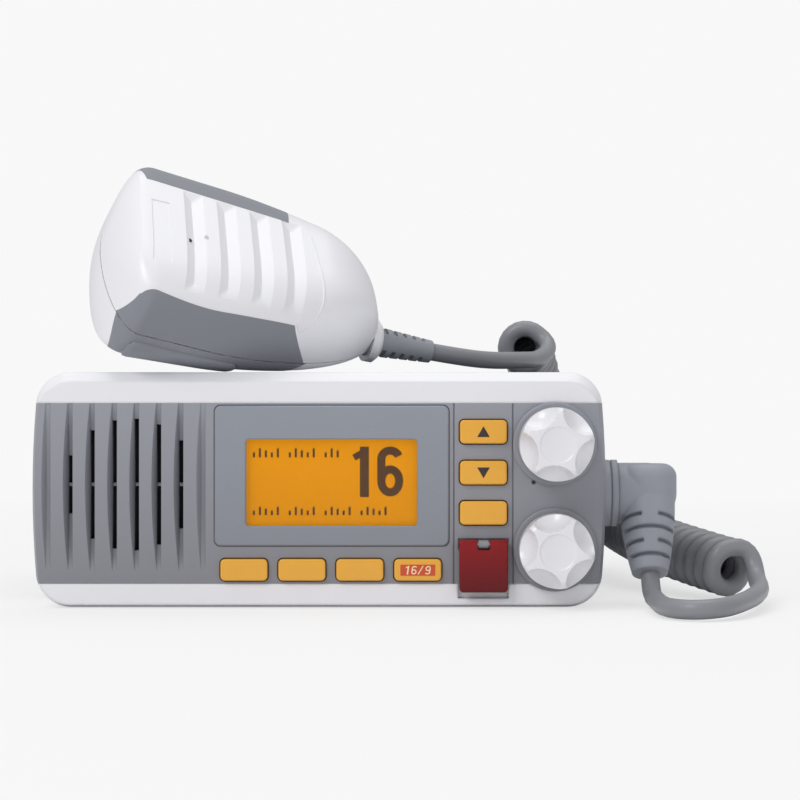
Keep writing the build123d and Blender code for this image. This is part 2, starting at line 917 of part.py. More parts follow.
cone_front_y = rim_y + cone_wall
cone_rim = rim_inner - cone_gap
with BuildPart() as speaker_cone:
    with BuildSketch(speaker_plane):
        with BuildLine():
            Polyline(
                (0, cone_front_y + cone_depth),
                (cone_neck, cone_front_y + cone_depth),
                (rim_inner - speaker_rim, cone_front_y),
                (cone_rim, cone_front_y),
                (cone_rim, cone_front_y + cone_wall),
                (rim_inner - speaker_rim, cone_front_y + cone_wall),
                (cone_neck, cone_front_y + cone_depth + cone_wall),
                (0, cone_front_y + cone_depth + cone_wall),
                close=True,
            )
        make_face()
    revolve(axis=speaker_axis)
finish(speaker_cone, "speaker_cone")

with BuildPart() as speaker_magnet:
    with BuildSketch(facing(basket_back_y)):
        with Locations((grille_centre_x, speaker_z)):
            Circle(magnet_radius)
    extrude(amount=-magnet_depth)
finish(speaker_magnet, "speaker_magnet")

# ================= Case =================
with BuildPart() as case_gasket:
    with BuildSketch(facing(housing_back_y)):
        add(body_outline(gasket_inset, gasket_inset, gasket_inset))
    extrude(amount=-gasket_thickness)
    with BuildSketch(facing(housing_back_y)):
        gasket_core = gasket_inset + gasket_width
        add(body_outline(gasket_core, gasket_core, gasket_core))
    extrude(amount=-gasket_thickness, mode=Mode.SUBTRACT)
finish(case_gasket, "case_gasket")

cover_screw_places = [
    (x, y)
    for x in (-cover_plate_half_width + cover_screw_inset, cover_plate_half_width - cover_screw_inset)
    for y in (cover_plate_front + cover_screw_inset, cover_plate_back - cover_screw_inset)
]
board_screw_places = [
    (x, y) for x in (-board_screw_x, board_screw_x) for y in (board_screw_front, board_screw_back)
]
sink_screw_places = [
    (x, z)
    for x in (-sink_screw_x, sink_screw_x)
    for z in (sink_low + sink_screw_margin, sink_high - sink_screw_margin)
]
antenna_screw_places = [
    (antenna_x + dx, antenna_z + dz)
    for dx in (-antenna_screw_offset, antenna_screw_offset)
    for dz in (-antenna_screw_offset, antenna_screw_offset)
]
gland_places = [(gland_x, gland_z), (gland_x + gland_pitch, gland_z)]
corner_screw_places = [(x, z) for x in (-post_x, post_x) for z in (post_low, post_high)]
ledge_outer = side_x - side_bow - case_inset - case_wall / 2
case_side_x = side_x - case_inset

with BuildPart() as chassis:
    with BuildSketch(facing(case_front_y)):
        add(body_outline(case_inset, case_inset, 0))
    extrude(amount=case_front_y - rear_face_y)
    with BuildSketch(facing(case_front_y)):
        add(body_outline(case_inset + case_wall, case_inset + case_wall, case_wall))
    extrude(amount=case_front_y - case_inner_back_y, mode=Mode.SUBTRACT)
    add(screw_posts(case_front_y, lug_length))
    for direction in (-1, 1):
        with BuildSketch(level(main_board_z)):
            with Locations(
                (
                    direction * (ledge_outer - ledge_width / 2 + case_wall / 4),
                    (main_board_front + main_board_back) / 2,
                )
            ):
                Rectangle(ledge_width + case_wall / 2, main_board_back - main_board_front)
        extrude(amount=ledge_height)
        side_plane = Plane(
            origin=(direction * case_side_x, insert_y, insert_z), x_dir=(0, 1, 0), z_dir=(direction, 0, 0)
        )
        with BuildSketch(side_plane.offset(-case_wall / 2)):
            Circle(insert_boss)
        extrude(amount=-(insert_length - case_wall / 2))
        with BuildSketch(side_plane):
            Circle(insert_radius)
        extrude(amount=-insert_length, mode=Mode.SUBTRACT)
    with BuildSketch(level(case_wall / 2)):
        with Locations(*cover_screw_places):
            Circle(cover_boss_radius)
    extrude(amount=cover_plate_thickness + cover_boss_height)
    with BuildSketch(level(0)):
        span_rectangle(
            -cover_plate_half_width, cover_plate_half_width, cover_plate_front, cover_plate_back
        )
    extrude(amount=cover_plate_thickness, mode=Mode.SUBTRACT)
    with BuildSketch(level(0)):
        span_rectangle(
            -cover_plate_half_width + cover_plate_lip + cover_boss_radius,
            cover_plate_half_width - cover_plate_lip - cover_boss_radius,
            cover_plate_front + cover_plate_lip + cover_boss_radius,
            cover_plate_back - cover_plate_lip - cover_boss_radius,
        )
    extrude(amount=case_wall, mode=Mode.SUBTRACT)
    with BuildSketch(level(0)):
        with Locations(*cover_screw_places):
            Circle(screw_radius + screw_fit)
    extrude(amount=cover_plate_thickness + cover_boss_height + case_wall, mode=Mode.SUBTRACT)
    with BuildSketch(level(main_board_z)):
        with Locations(*board_screw_places):
            Circle(screw_radius + screw_fit)
    extrude(amount=ledge_height, mode=Mode.SUBTRACT)
    with BuildSketch(facing(case_front_y)):
        with Locations(*corner_screw_places):
            Circle(screw_radius + screw_fit)
    extrude(amount=-lug_length, mode=Mode.SUBTRACT)
    with BuildSketch(facing(case_inner_back_y)):
        with Locations(*sink_screw_places, *antenna_screw_places):
            Circle(screw_radius + screw_fit)
        with Locations((antenna_x, antenna_z)):
            Circle(antenna_bore + screw_fit)
        with Locations(*gland_places):
            Circle(gland_neck)
    extrude(amount=-rear_wall, mode=Mode.SUBTRACT)
finish(chassis, "chassis")

with BuildPart() as heat_sink:
    with BuildSketch(facing(rear_face_y)):
        span_rectangle(-sink_half_width, sink_half_width, sink_low, sink_high)
    extrude(amount=-sink_base)
    with BuildSketch(facing(rear_face_y + sink_base)):
        with Locations((0, (sink_low + sink_high) / 2)):
            with GridLocations(fin_pitch, 1, fin_count, 1):
                Rectangle(fin_thickness, sink_high - sink_low)
    extrude(amount=-(body_depth / 2 - rear_face_y - sink_base))
    with BuildSketch(facing(rear_face_y)):
        with Locations(*sink_screw_places):
            Circle(screw_radius + screw_fit)
    extrude(amount=-sink_base, mode=Mode.SUBTRACT)
finish(heat_sink, "heat_sink")

with BuildPart() as bottom_cover:
    with BuildSketch(level(0)):
        span_rectangle(
            -cover_plate_half_width + cover_plate_gap,
            cover_plate_half_width - cover_plate_gap,
            cover_plate_front + cover_plate_gap,
            cover_plate_back - cover_plate_gap,
        )
    extrude(amount=cover_plate_thickness)
    for x, y in cover_screw_places:
        with Locations(Plane(origin=(x, y, 0), x_dir=(1, 0, 0), z_dir=(0, 0, -1))):
            CounterSinkHole(
                radius=screw_radius + screw_fit,
                counter_sink_radius=countersink_radius + screw_fit,
            )
finish(bottom_cover, "bottom_cover")

head_cone_height = countersink_radius - screw_radius
with BuildPart() as bottom_screws:
    for x, y in cover_screw_places:
        with BuildSketch(Plane(origin=(x, y, 0), x_dir=(1, 0, 0), z_dir=(0, -1, 0))):
            with BuildLine():
                Polyline(
                    (0, 0),
                    (countersink_radius, 0),
                    (screw_radius, head_cone_height),
                    (screw_radius, cover_boss_height),
                    (0, cover_boss_height),
                    close=True,
                )
            make_face()
        revolve(axis=Axis((x, y, 0), (0, 0, 1)))
finish(bottom_screws, "bottom_screws")

# Identical pan-head screws, each given by the plane under its head.
screw_seats = []
for x, z in corner_screw_places:
    screw_seats.append(Plane(origin=(x, case_front_y + lug_length, z), x_dir=(1, 0, 0), z_dir=(0, 1, 0)))
for x, y in board_screw_places:
    seat_z = main_board_z - board_thickness
    screw_seats.append(Plane(origin=(x, y, seat_z), x_dir=(1, 0, 0), z_dir=(0, 0, -1)))
for x, z in sink_screw_places:
    screw_seats.append(Plane(origin=(x, rear_face_y + sink_base, z), x_dir=(1, 0, 0), z_dir=(0, 1, 0)))
for x, z in antenna_screw_places:
    seat_y = rear_face_y + antenna_flange_thickness
    screw_seats.append(Plane(origin=(x, seat_y, z), x_dir=(1, 0, 0), z_dir=(0, 1, 0)))

with BuildPart() as case_screws:
    for seat in screw_seats:
        with BuildSketch(seat):
            Circle(screw_head_radius)
        extrude(amount=screw_head_height)
        with BuildSketch(seat):
            Circle(screw_radius)
        extrude(amount=-screw_length)
        with BuildSketch(seat.offset(screw_head_height)):
            Rectangle(2 * screw_radius, screw_slot)
            Rectangle(screw_slot, 2 * screw_radius)
        extrude(amount=-screw_head_height / 2, mode=Mode.SUBTRACT)
finish(case_screws, "case_screws")

with BuildPart() as bracket_inserts:
    for direction in (-1, 1):
        insert_plane = Plane(
            origin=(direction * case_side_x, insert_y, insert_z), x_dir=(0, 1, 0), z_dir=(direction, 0, 0)
        )
        with BuildSketch(insert_plane):
            Circle(insert_radius)
            Circle(insert_bore, mode=Mode.SUBTRACT)
        extrude(amount=-insert_length)
finish(bracket_inserts, "bracket_inserts")

# ================= Electronics in the case =================
with BuildPart() as main_board:
    with BuildSketch(level(main_board_z)):
        span_rectangle(
            -main_board_half_width, main_board_half_width, main_board_front, main_board_back
        )
        with Locations(*board_screw_places):
            Circle(screw_radius + screw_fit, mode=Mode.SUBTRACT)
    extrude(amount=-board_thickness)
finish(main_board, "main_board")

with BuildPart() as rf_shield:
    with BuildSketch(level(main_board_z)):
        Rectangle(shield_width, shield_depth)
    extrude(amount=shield_height)
    offset(amount=-shield_wall, openings=faces().sort_by(Axis.Z)[0])
finish(rf_shield, "rf_shield")

with BuildPart() as power_amplifier:
    with BuildSketch(facing(case_inner_back_y)):
        with Locations((0, main_board_z + ledge_height + amplifier_height / 2)):
            Rectangle(amplifier_width, amplifier_height)
    extrude(amount=amplifier_depth)
finish(power_amplifier, "power_amplifier")

# ================= Antenna socket and rear glands =================
socket_tip_y = rear_face_y + antenna_flange_thickness + antenna_length
with BuildPart() as antenna_socket:
    with BuildSketch(facing(rear_face_y)):
        with Locations((antenna_x, antenna_z)):
            Rectangle(antenna_flange, antenna_flange)
        with Locations(*antenna_screw_places):
            Circle(screw_radius + screw_fit, mode=Mode.SUBTRACT)
    extrude(amount=-antenna_flange_thickness)
    with BuildSketch(facing(rear_face_y)):
        with Locations((antenna_x, antenna_z)):
            Circle(antenna_radius)
    extrude(amount=-(antenna_flange_thickness + antenna_length))
    with BuildSketch(facing(rear_face_y)):
        with Locations((antenna_x, antenna_z)):
            Circle(antenna_bore)
    extrude(amount=-(antenna_flange_thickness + antenna_length), mode=Mode.SUBTRACT)
finish(antenna_socket, "antenna_socket")

insulator_back_y = rear_face_y - antenna_spigot
insulator_tip_y = socket_tip_y - antenna_recess
with BuildPart() as antenna_insulator:
    with BuildSketch(facing(insulator_tip_y)):
        with Locations((antenna_x, antenna_z)):
            Circle(antenna_bore)
            Circle(contact_radius, mode=Mode.SUBTRACT)
    extrude(amount=insulator_tip_y - insulator_back_y)
finish(antenna_insulator, "antenna_insulator")

with BuildPart() as antenna_contact:
    with BuildSketch(facing(insulator_tip_y)):
        with Locations((antenna_x, antenna_z)):
            Circle(contact_radius)
    extrude(amount=insulator_tip_y - insulator_back_y + antenna_recess)
    with BuildSketch(facing(insulator_tip_y)):
        with Locations((antenna_x, antenna_z)):
            Circle(contact_bore)
    extrude(amount=contact_bore_depth, mode=Mode.SUBTRACT)
finish(antenna_contact, "antenna_contact")

with BuildPart() as rear_glands:
    for x, z in gland_places:
        with BuildSketch(Plane(origin=(x, 0, z), x_dir=(1, 0, 0), z_dir=(0, 0, 1))):
            with BuildLine():
                Polyline(
                    (gland_bore, case_inner_back_y - gland_flange_thickness),
                    (gland_flange, case_inner_back_y - gland_flange_thickness),
                    (gland_flange, case_inner_back_y),
                    (gland_neck, case_inner_back_y),
                    (gland_neck, rear_face_y),
                    (gland_flange, rear_face_y),
                    (gland_neck, rear_face_y + 2 * gland_flange_thickness),
                    (gland_bore, rear_face_y + 2 * gland_flange_thickness),
                    close=True,
                )
            make_face()
        revolve(axis=Axis((x, 0, z), (0, 1, 0)))
finish(rear_glands, "rear_glands")


# ================= Cord socket and elbow boot =================
def side_facing(x):
    """A plane on the right side of the body, at the cord socket, facing right."""
    return Plane(origin=(x, socket_y, socket_z), x_dir=(0, 1, 0), z_dir=(1, 0, 0))


with BuildPart() as cord_socket:
    with BuildSketch(side_facing(side_x)):
        Circle(socket_radius)
        Circle(socket_bore, mode=Mode.SUBTRACT)
    extrude(amount=socket_length)
    with BuildSketch(side_facing(side_x + socket_length / 2)):
        Circle(socket_radius + socket_groove)
        Circle(socket_radius - socket_groove, mode=Mode.SUBTRACT)
    extrude(amount=socket_groove, mode=Mode.SUBTRACT)
finish(cord_socket, "cord_socket")

boot_start_x = side_x + socket_length
boot_axis_x = boot_start_x + boot_reach
boot_down = Vector(0, -math.sin(math.radians(boot_tilt)), -math.cos(math.radians(boot_tilt)))
boot_centre = Vector(boot_axis_x, socket_y, socket_z)
boot_end = boot_centre + boot_down * boot_length
boot_stem_plane = Plane(origin=boot_centre, x_dir=(1, 0, 0), z_dir=boot_down)


def boot_radius_at(distance):
    """Radius of the stem at a distance below the elbow."""
    return boot_stem_radius + (boot_tip_radius - boot_stem_radius) * (distance / boot_length) ** 2


def boot_slot(distance, angle, spread):
    """A cutter for one flex slot: a ring sector sunk into the stem."""
    radius = boot_radius_at(distance)
    with BuildPart() as cutter:
        with BuildSketch(boot_stem_plane.offset(distance)):
            Circle(2 * boot_radius)
            Circle(radius - boot_slot_depth, mode=Mode.SUBTRACT)
            far = 4 * boot_radius
            middle_turn = math.radians(angle)
            start_turn = math.radians(angle - spread)
            end_turn = math.radians(angle + spread)
            with BuildLine():
                Polyline(
                    (0, 0),
                    (far * math.cos(start_turn), far * math.sin(start_turn)),
                    (far * math.cos(middle_turn), far * math.sin(middle_turn)),
                    (far * math.cos(end_turn), far * math.sin(end_turn)),
                    close=True,
                )
            make_face(mode=Mode.INTERSECT)
        extrude(amount=boot_slot_width)
    return cutter.part


boot_slots = []
for index in range(boot_slot_count):
    distance = boot_slot_first + boot_slot_pitch * index
    turn = 90 * (index % 2)
    for side in (0, 180):
        boot_slots.append(boot_slot(distance, side + turn, 90 - boot_bridge_angle / 2))

with BuildPart() as cord_boot:
    with BuildSketch(side_facing(boot_start_x)):
        Circle(boot_radius)
    extrude(amount=boot_reach)
    with BuildSketch(Plane(origin=boot_centre, x_dir=(1, 0, 0), z_dir=(0, -1, 0))):
        with Locations((boot_radius / 2, boot_crown / 2)):
            Rectangle(boot_radius, boot_crown)
        fillet(vertices().sort_by(Axis.X)[-2:].sort_by(Axis.Y)[-1], radius=boot_crown_edge)
    revolve(axis=Axis(boot_centre, (0, 0, 1)))
    with BuildSketch(boot_stem_plane):
        Circle(boot_stem_radius)
    with BuildSketch(boot_stem_plane.offset(boot_length / 2)):
        Circle(boot_radius_at(boot_length / 2))
    with BuildSketch(boot_stem_plane.offset(boot_length)):
        Circle(boot_tip_radius)
    loft()
    with Locations(boot_centre):
        Sphere(boot_radius)
    for slot in boot_slots:
        add(slot, mode=Mode.SUBTRACT)
    with BuildSketch(side_facing(boot_start_x)):
        Circle(boot_neck_radius)
    extrude(amount=-boot_neck_length)
finish(cord_boot, "cord_boot")

# ================= Microphone =================
mic_length_dir = Vector(1, 0, 0).rotate(Axis.Y, mic_roll).rotate(Axis.Z, mic_yaw)
mic_face_dir = Vector(0, -1, 0).rotate(Axis.X, -mic_lean).rotate(Axis.Y, mic_roll).rotate(Axis.Z, mic_yaw)
mic_plane = Plane(origin=mic_centre, x_dir=mic_length_dir, z_dir=mic_face_dir)
mic_side_dir = mic_plane.y_dir


def end_rounding(s, round_top, round_end):
    """Share of the full size at s along the microphone, where its ends round off."""
    top = min(max((round_top - s) / round_top, 0), 1)
    end = min(max((s - (mic_length - round_end)) / round_end, 0), 1)
    power = mic_outline_power
    return (max(1 - top ** power, 0) ** (1 / power)) * (max(1 - end ** power, 0) ** (1 / power))


def mic_half_width(s):
    """Half width at s, from the rounded top end to the narrower cord end."""
    width = mic_top_width + (mic_end_width - mic_top_width) * s / mic_length
    return width / 2 * end_rounding(s, mic_round_top, mic_round_end)


def mic_front(s):
    """Height of the front shell above the seam at s."""
    height = mic_front_top + (mic_front_end - mic_front_top) * s / mic_length
    return height * end_rounding(s, mic_round_top * mic_front_top_share, mic_round_end * mic_end_share)


def mic_rear(s):
    """Depth of the rear shell below the seam at s."""
    depth = mic_rear_top + (mic_rear_end - mic_rear_top) * s / mic_length
    return depth * end_rounding(s, mic_round_top * mic_rear_top_share, mic_round_end * mic_end_share)


def oval_side(half_width, height, power, reach):
    """Points up one side of a squared-off half oval, from its base to the place reach from the middle."""
    top = height * (1 - (reach / half_width) ** power) ** (1 / power)
    result = []
    for index in range(oval_steps + 1):
        up = top * index / oval_steps
        result.append((half_width * (1 - (up / height) ** power) ** (1 / power), up))
    return result


def oval_crown(half_width, height, power, reach):
    """Points over the crown of a squared-off half oval, from one side to the other."""
    result = []
    for index in range(2 * oval_steps + 1):
        across = reach * (1 - index / oval_steps)
        result.append((across, height * (1 - (abs(across) / half_width) ** power) ** (1 / power)))
    return result


def mic_point(s, v, w):
    """A point of the microphone: s from its top end, v across, w out of the seam to the front."""
    return mic_plane.from_local_coords(Vector(s - mic_length / 2, v, w))


def mic_cut_plane(s):
    """The plane across the microphone at s: x runs across it, y out of its face."""
    return Plane(origin=mic_point(s, 0, 0), x_dir=mic_side_dir, z_dir=mic_length_dir)


def mic_half_sizes(s, inset, direction):
    """Half width, height and squareness of the front (1) or rear (-1) half at s, drawn in by inset."""
    if direction > 0:
        return mic_half_width(s) - inset, mic_front(s) - inset, mic_front_power
    return mic_half_width(s) - inset, mic_rear(s) - inset, mic_rear_power


def mic_half_depth(s, v, direction):
    """How far the front or rear surface stands from the seam at s and v."""
    half_width, height, power = mic_half_sizes(s, 0, direction)
    return height * (1 - (abs(v) / half_width) ** power) ** (1 / power)


def grip_line(s):
    """Distance of a grip's edge from the middle at s; past its ends the line follows the outline."""
    place = min(max(s, grip_start), grip_end)
    share = (place - grip_start) / (grip_end - grip_start)
    distance = grip_line_start + (grip_line_end - grip_line_start) * share
    return distance * mic_half_width(s) / mic_half_width(place)


def mirrored(points):
    """The same points on the other side of the middle, in the opposite order."""
    return [(-x, y) for x, y in reversed(points)]


def half_section(s, direction, inset, depth, gripped):
    """Half a cross-section of the microphone: a wall of depth, or solid when depth is nothing."""
    half_width, height, power = mic_half_sizes(s, inset, direction)
    reach = grip_line(s) * half_width / mic_half_width(s)
    crown = oval_crown(half_width, height, power, reach)
    side_inset = inset + grip_thickness if gripped else inset
    side_width, side_height, power = mic_half_sizes(s, side_inset, direction)
    side = oval_side(side_width, side_height, power, reach)
    with BuildSketch(Plane.XY) as section:
        with BuildLine():
            Spline(*side)
            if gripped:
                Line(side[-1], crown[0])
            Spline(*crown)
            if gripped:
                Line(crown[-1], (-side[-1][0], side[-1][1]))
            Spline(*mirrored(side))
            if depth > 0:
                inner_width, inner_height, power = mic_half_sizes(s, inset + depth, direction)
                inner_side = oval_side(inner_width, inner_height, power, inner_width * crown_share)
                Line((-side[0][0], 0), (-inner_side[0][0], 0))
                Spline(*reversed(mirrored(inner_side)))
                Spline(*reversed(oval_crown(inner_width, inner_height, power, inner_width * crown_share)))
                Spline(*reversed(inner_side))
                Line(inner_side[0], side[0])
            else:
                Line((-side[0][0], 0), side[0])
        make_face()
    if direction > 0:
        return section.sketch
    return mirror(section.sketch, about=Plane.XZ, mode=Mode.PRIVATE)


def half_span(start, end, sections, direction, inset, depth, gripped):
    """A stretch of half the microphone between two places along it."""
    shares = [(1 - math.cos(math.pi * k / (sections - 1))) / 2 for k in range(sections)]
    places = [start + (end - start) * share for share in shares]
    with BuildPart() as span:
        for s in places:
            with BuildSketch(mic_cut_plane(s)):
                add(half_section(s, direction, inset, depth, gripped))
        loft(ruled=True)
    return span.part


def mic_shell_blank(direction):
    """Half of the microphone's hollow body, with seats for the grips along its sides."""
    return [
        half_span(mic_end_margin, mic_cavity_start, end_sections, direction, 0, 0, False),
        half_span(mic_cavity_start, grip_start, end_sections, direction, 0, mic_wall, False),
        half_span(grip_start, grip_end, mic_sections, direction, 0, mic_wall, True),
        half_span(grip_end, mic_cavity_end, end_sections, direction, 0, mic_wall, False),
        half_span(mic_cavity_end, mic_length - mic_end_margin, mic_sections, direction, 0, 0, False),
    ]


def grip_section(s, side, direction):
    """Cross-section of one grip in the front or rear half."""
    half_width, height, power = mic_half_sizes(s, 0, direction)
    reach = grip_line(s)
    outer = oval_side(half_width, height, power, reach)
    half_width, height, power = mic_half_sizes(s, grip_thickness, direction)
    inner = oval_side(half_width, height, power, reach)
    with BuildSketch(Plane.XY) as section:
        with BuildLine():
            Spline(*[(side * x, direction * y) for x, y in outer])
            Line((side * reach, direction * outer[-1][1]), (side * reach, direction * inner[-1][1]))
            Spline(*[(side * x, direction * y) for x, y in reversed(inner)])
            Line((side * inner[0][0], 0), (side * outer[0][0], 0))
        make_face()
    return section.sketch


def grip_piece(side, direction):
    """One soft grip along a side of the front or rear half."""
    count = mic_sections
    span = grip_end - grip_start
    places = [grip_start + span * (1 - math.cos(math.pi * k / (count - 1))) / 2 for k in range(count)]
    with BuildPart() as grip:
        for s in places:
            with BuildSketch(mic_cut_plane(s)):
                add(grip_section(s, side, direction))
        loft(ruled=True)
    return grip.part


def ptt_prism(gap, deeper):
    """The push-to-talk key's outline, widened by gap, from deeper inside out through the lower side."""
    start = mic_point(mic_length / 2, deeper - ptt_inside, 0)
    plane = Plane(origin=start, x_dir=mic_length_dir, z_dir=-mic_side_dir)
    with BuildPart() as prism:
        with BuildSketch(plane):
            with BuildLine():
                Polyline(
                    (ptt_start - gap - mic_length / 2, ptt_front + gap),
                    (ptt_end + gap - mic_length / 2, ptt_front + gap),
                    (ptt_end + gap - mic_length / 2, ptt_rear_end - gap),
                    (ptt_start - gap - mic_length / 2, ptt_rear_start - gap),
                    close=True,
                )
            make_face()
            fillet(vertices(), radius=ptt_corner + gap)
        extrude(amount=mic_top_width)
    return prism.part


mic_post_places = [
    (s, v) for s in (mic_post_start, mic_post_end) for v in (-mic_post_v, mic_post_v)
]


def mic_post_set(direction, start_w):
    """Screw posts inside the front or rear half, from the board to the wall."""
    with BuildPart() as posts:
        for s, v in mic_post_places:
            top = mic_half_depth(s, abs(v) + mic_post_radius, direction) - mic_wall / 2
            with BuildSketch(mic_plane.offset(start_w)):
                with Locations((s - mic_length / 2, v)):
                    Circle(mic_post_radius)
            extrude(amount=direction * top - start_w)
    return posts.part


def mic_groove(index):
    """A cutter for one scooped groove across the front shell."""
    s = mic_groove_first + mic_groove_pitch * index
    crown = mic_front(s)
    with BuildPart() as cutter:
        middle = mic_point(s, mic_face_shift, 0)
        with BuildSketch(Plane(origin=middle, x_dir=mic_length_dir, z_dir=-mic_side_dir)):
            with BuildLine():
                Polyline(
                    (-mic_groove_left, crown),
                    (mic_groove_right, crown - mic_groove_depth),
                    (mic_groove_right, crown + mic_wall),
                    (-mic_groove_left, crown + mic_wall),
                    close=True,
                )
            make_face()
        extrude(amount=mic_groove_reach - mic_groove_shorten * index, both=True)
    return cutter.part


mic_grooves = [mic_groove(index) for index in range(mic_groove_count)]
mic_board_top = mic_board_level + board_thickness
rear_posts = mic_post_set(-1, mic_board_level)
front_posts = mic_post_set(1, mic_board_top)
boot_direction = Vector(*mic_boot_direction).normalized()
mic_exit = mic_point(mic_length, 0, 0)
boot_root = mic_exit - boot_direction * mic_boot_inside
boot_tip = boot_root + boot_direction * mic_boot_length
boot_root_plane = Plane(origin=boot_root, z_dir=boot_direction)


def mic_boot_form(gap):
    """The tapered strain relief at the microphone's cord end, widened by gap."""
    with BuildPart() as form:
        with BuildSketch(boot_root_plane):
            Circle(mic_boot_root + gap)
        with BuildSketch(boot_root_plane.offset(mic_boot_length)):
            Circle(mic_boot_tip + gap)
        loft()
    return form.part


mic_boot_core = mic_boot_form(0)

local_post_places = [(s - mic_length / 2, v) for s, v in mic_post_places]
front_spans = mic_shell_blank(1)
rear_spans = mic_shell_blank(-1)

with BuildPart() as mic_front_shell:
    for span in front_spans:
        add(span)
    add(front_posts)
    for groove in mic_grooves:
        add(groove, mode=Mode.SUBTRACT)
    plate_level = mic_half_depth(plate_s, plate_length / 2 - mic_face_shift, 1) - plate_depth
    with BuildSketch(mic_plane.offset(plate_level)):
        with Locations((plate_s - mic_length / 2, mic_face_shift)):
            Rectangle(plate_width, plate_length)
    extrude(amount=mic_wall, mode=Mode.SUBTRACT)
    with BuildSketch(mic_plane.offset(mic_front_top - 2 * mic_wall)):
        with Locations((mic_hole_s - mic_length / 2, mic_hole_v)):
            Circle(mic_hole_radius)
    extrude(amount=mic_front_top, mode=Mode.SUBTRACT)
    with BuildSketch(mic_plane):
        with Locations(*local_post_places):
            Circle(mic_screw_radius)
    extrude(amount=mic_screw_reach, mode=Mode.SUBTRACT)
    add(mic_boot_core, mode=Mode.SUBTRACT)
finish(mic_front_shell, "mic_front_shell")

stud_plane = Plane(
    origin=mic_point(stud_s, 0, stud_seat_depth - mic_rear(stud_s)), x_dir=mic_length_dir, z_dir=-mic_face_dir
)
with BuildPart() as mic_hang_stud:
    with BuildSketch(stud_plane):
        Circle(stud_spigot_radius)
    extrude(amount=-stud_spigot_length)
    with BuildSketch(stud_plane):
        Circle(stud_neck_radius)
    extrude(amount=stud_seat_depth + stud_neck_length)
    with BuildSketch(stud_plane.offset(stud_seat_depth + stud_neck_length)):
        Circle(stud_head_radius)
    extrude(amount=stud_head_height)
    fillet(edges().filter_by(GeomType.CIRCLE).sort_by(SortBy.RADIUS)[-2:], radius=key_edge)
finish(mic_hang_stud, "mic_hang_stud")

ptt_opening = ptt_prism(ptt_gap, ptt_travel + ptt_flange_gap)
with BuildPart() as mic_rear_shell:
    for span in rear_spans:
        add(span)
    add(rear_posts)
    with BuildSketch(stud_plane.offset(-mic_wall / 2)):
        Circle(stud_boss_radius)
    extrude(amount=-stud_spigot_length)
    with BuildSketch(mic_plane.offset(-mic_screw_seat)):
        with Locations(*local_post_places):
            Circle(mic_head_radius + mic_head_gap)
    extrude(amount=-mic_rear_top, mode=Mode.SUBTRACT)
    with BuildSketch(mic_plane):
        with Locations(*local_post_places):
            Circle(mic_screw_radius)
    extrude(amount=-mic_screw_seat, mode=Mode.SUBTRACT)
    add(mic_hang_stud.part, mode=Mode.SUBTRACT)
    add(ptt_opening, mode=Mode.SUBTRACT)
    add(mic_boot_core, mode=Mode.SUBTRACT)
finish(mic_rear_shell, "mic_rear_shell")

# Soft grips moulded into both sides of the two shells.
front_skins = [grip_piece(-1, 1), grip_piece(1, 1)]
with BuildPart() as mic_front_grips:
    for skin in front_skins:
        add(skin)
finish(mic_front_grips, "mic_front_grips")

rear_skins = [grip_piece(-1, -1), grip_piece(1, -1)]
with BuildPart() as mic_rear_grips:
    for skin in rear_skins:
        add(skin)
    add(ptt_opening, mode=Mode.SUBTRACT)
finish(mic_rear_grips, "mic_rear_grips")

ptt_cap = ptt_prism(0, 0)
ptt_wide = ptt_prism(ptt_flange, 0)
flange_inset = mic_wall + ptt_flange_gap
ptt_span = (grip_start, grip_end, mic_sections, -1)
ptt_outer = half_span(*ptt_span, -ptt_proud, 0, False)
ptt_flange_outer = half_span(*ptt_span, flange_inset, 0, False)
ptt_flange_inner = half_span(*ptt_span, flange_inset + ptt_flange_thickness, 0, False)
with BuildPart() as ptt_button:
    add(ptt_wide)
    add(ptt_flange_outer, mode=Mode.INTERSECT)
    ptt_flange_solid = ptt_button.part
with BuildPart() as ptt_button:
    add(ptt_cap)
    add(ptt_outer, mode=Mode.INTERSECT)
    add(ptt_flange_solid)
    add(ptt_flange_inner, mode=Mode.SUBTRACT)
finish(ptt_button, "ptt_button")

with BuildPart() as ptt_switch:
    with BuildSketch(mic_plane.offset(mic_board_level)):
        with Locations((ptt_switch_s - mic_length / 2, -ptt_switch_v + ptt_switch_depth / 2)):
            Rectangle(ptt_switch_size, ptt_switch_depth)
    extrude(amount=-ptt_switch_size)
finish(ptt_switch, "ptt_switch")

with BuildPart() as mic_board:
    with BuildSketch(mic_plane.offset(mic_board_level)):
        with BuildLine():
            Polyline(
                (mic_board_start - mic_length / 2, -mic_board_half_start),
                (mic_board_end - mic_length / 2, -mic_board_half_end),
                (mic_board_end - mic_length / 2, mic_board_half_end),
                (mic_board_start - mic_length / 2, mic_board_half_start),
                close=True,
            )
        make_face()
        with Locations(*local_post_places):
            Circle(mic_screw_radius + screw_fit, mode=Mode.SUBTRACT)
    extrude(amount=board_thickness)
finish(mic_board, "mic_board")

with BuildPart() as mic_capsule:
    with BuildSketch(mic_plane.offset(mic_board_top)):
        with Locations((mic_hole_s - mic_length / 2, mic_hole_v)):
            Circle(capsule_radius)
    extrude(amount=mic_front_top - mic_wall - mic_board_top)
finish(mic_capsule, "mic_capsule")

with BuildPart() as mic_screws:
    for s, v in local_post_places:
        with BuildSketch(mic_plane.offset(-mic_screw_seat)):
            with Locations((s, v)):
                Circle(mic_head_radius)
        extrude(amount=-mic_head_height)
        with BuildSketch(mic_plane.offset(-mic_screw_seat)):
            with Locations((s, v)):
                Circle(mic_screw_radius)
        extrude(amount=mic_screw_seat + mic_screw_reach)
finish(mic_screws, "mic_screws")

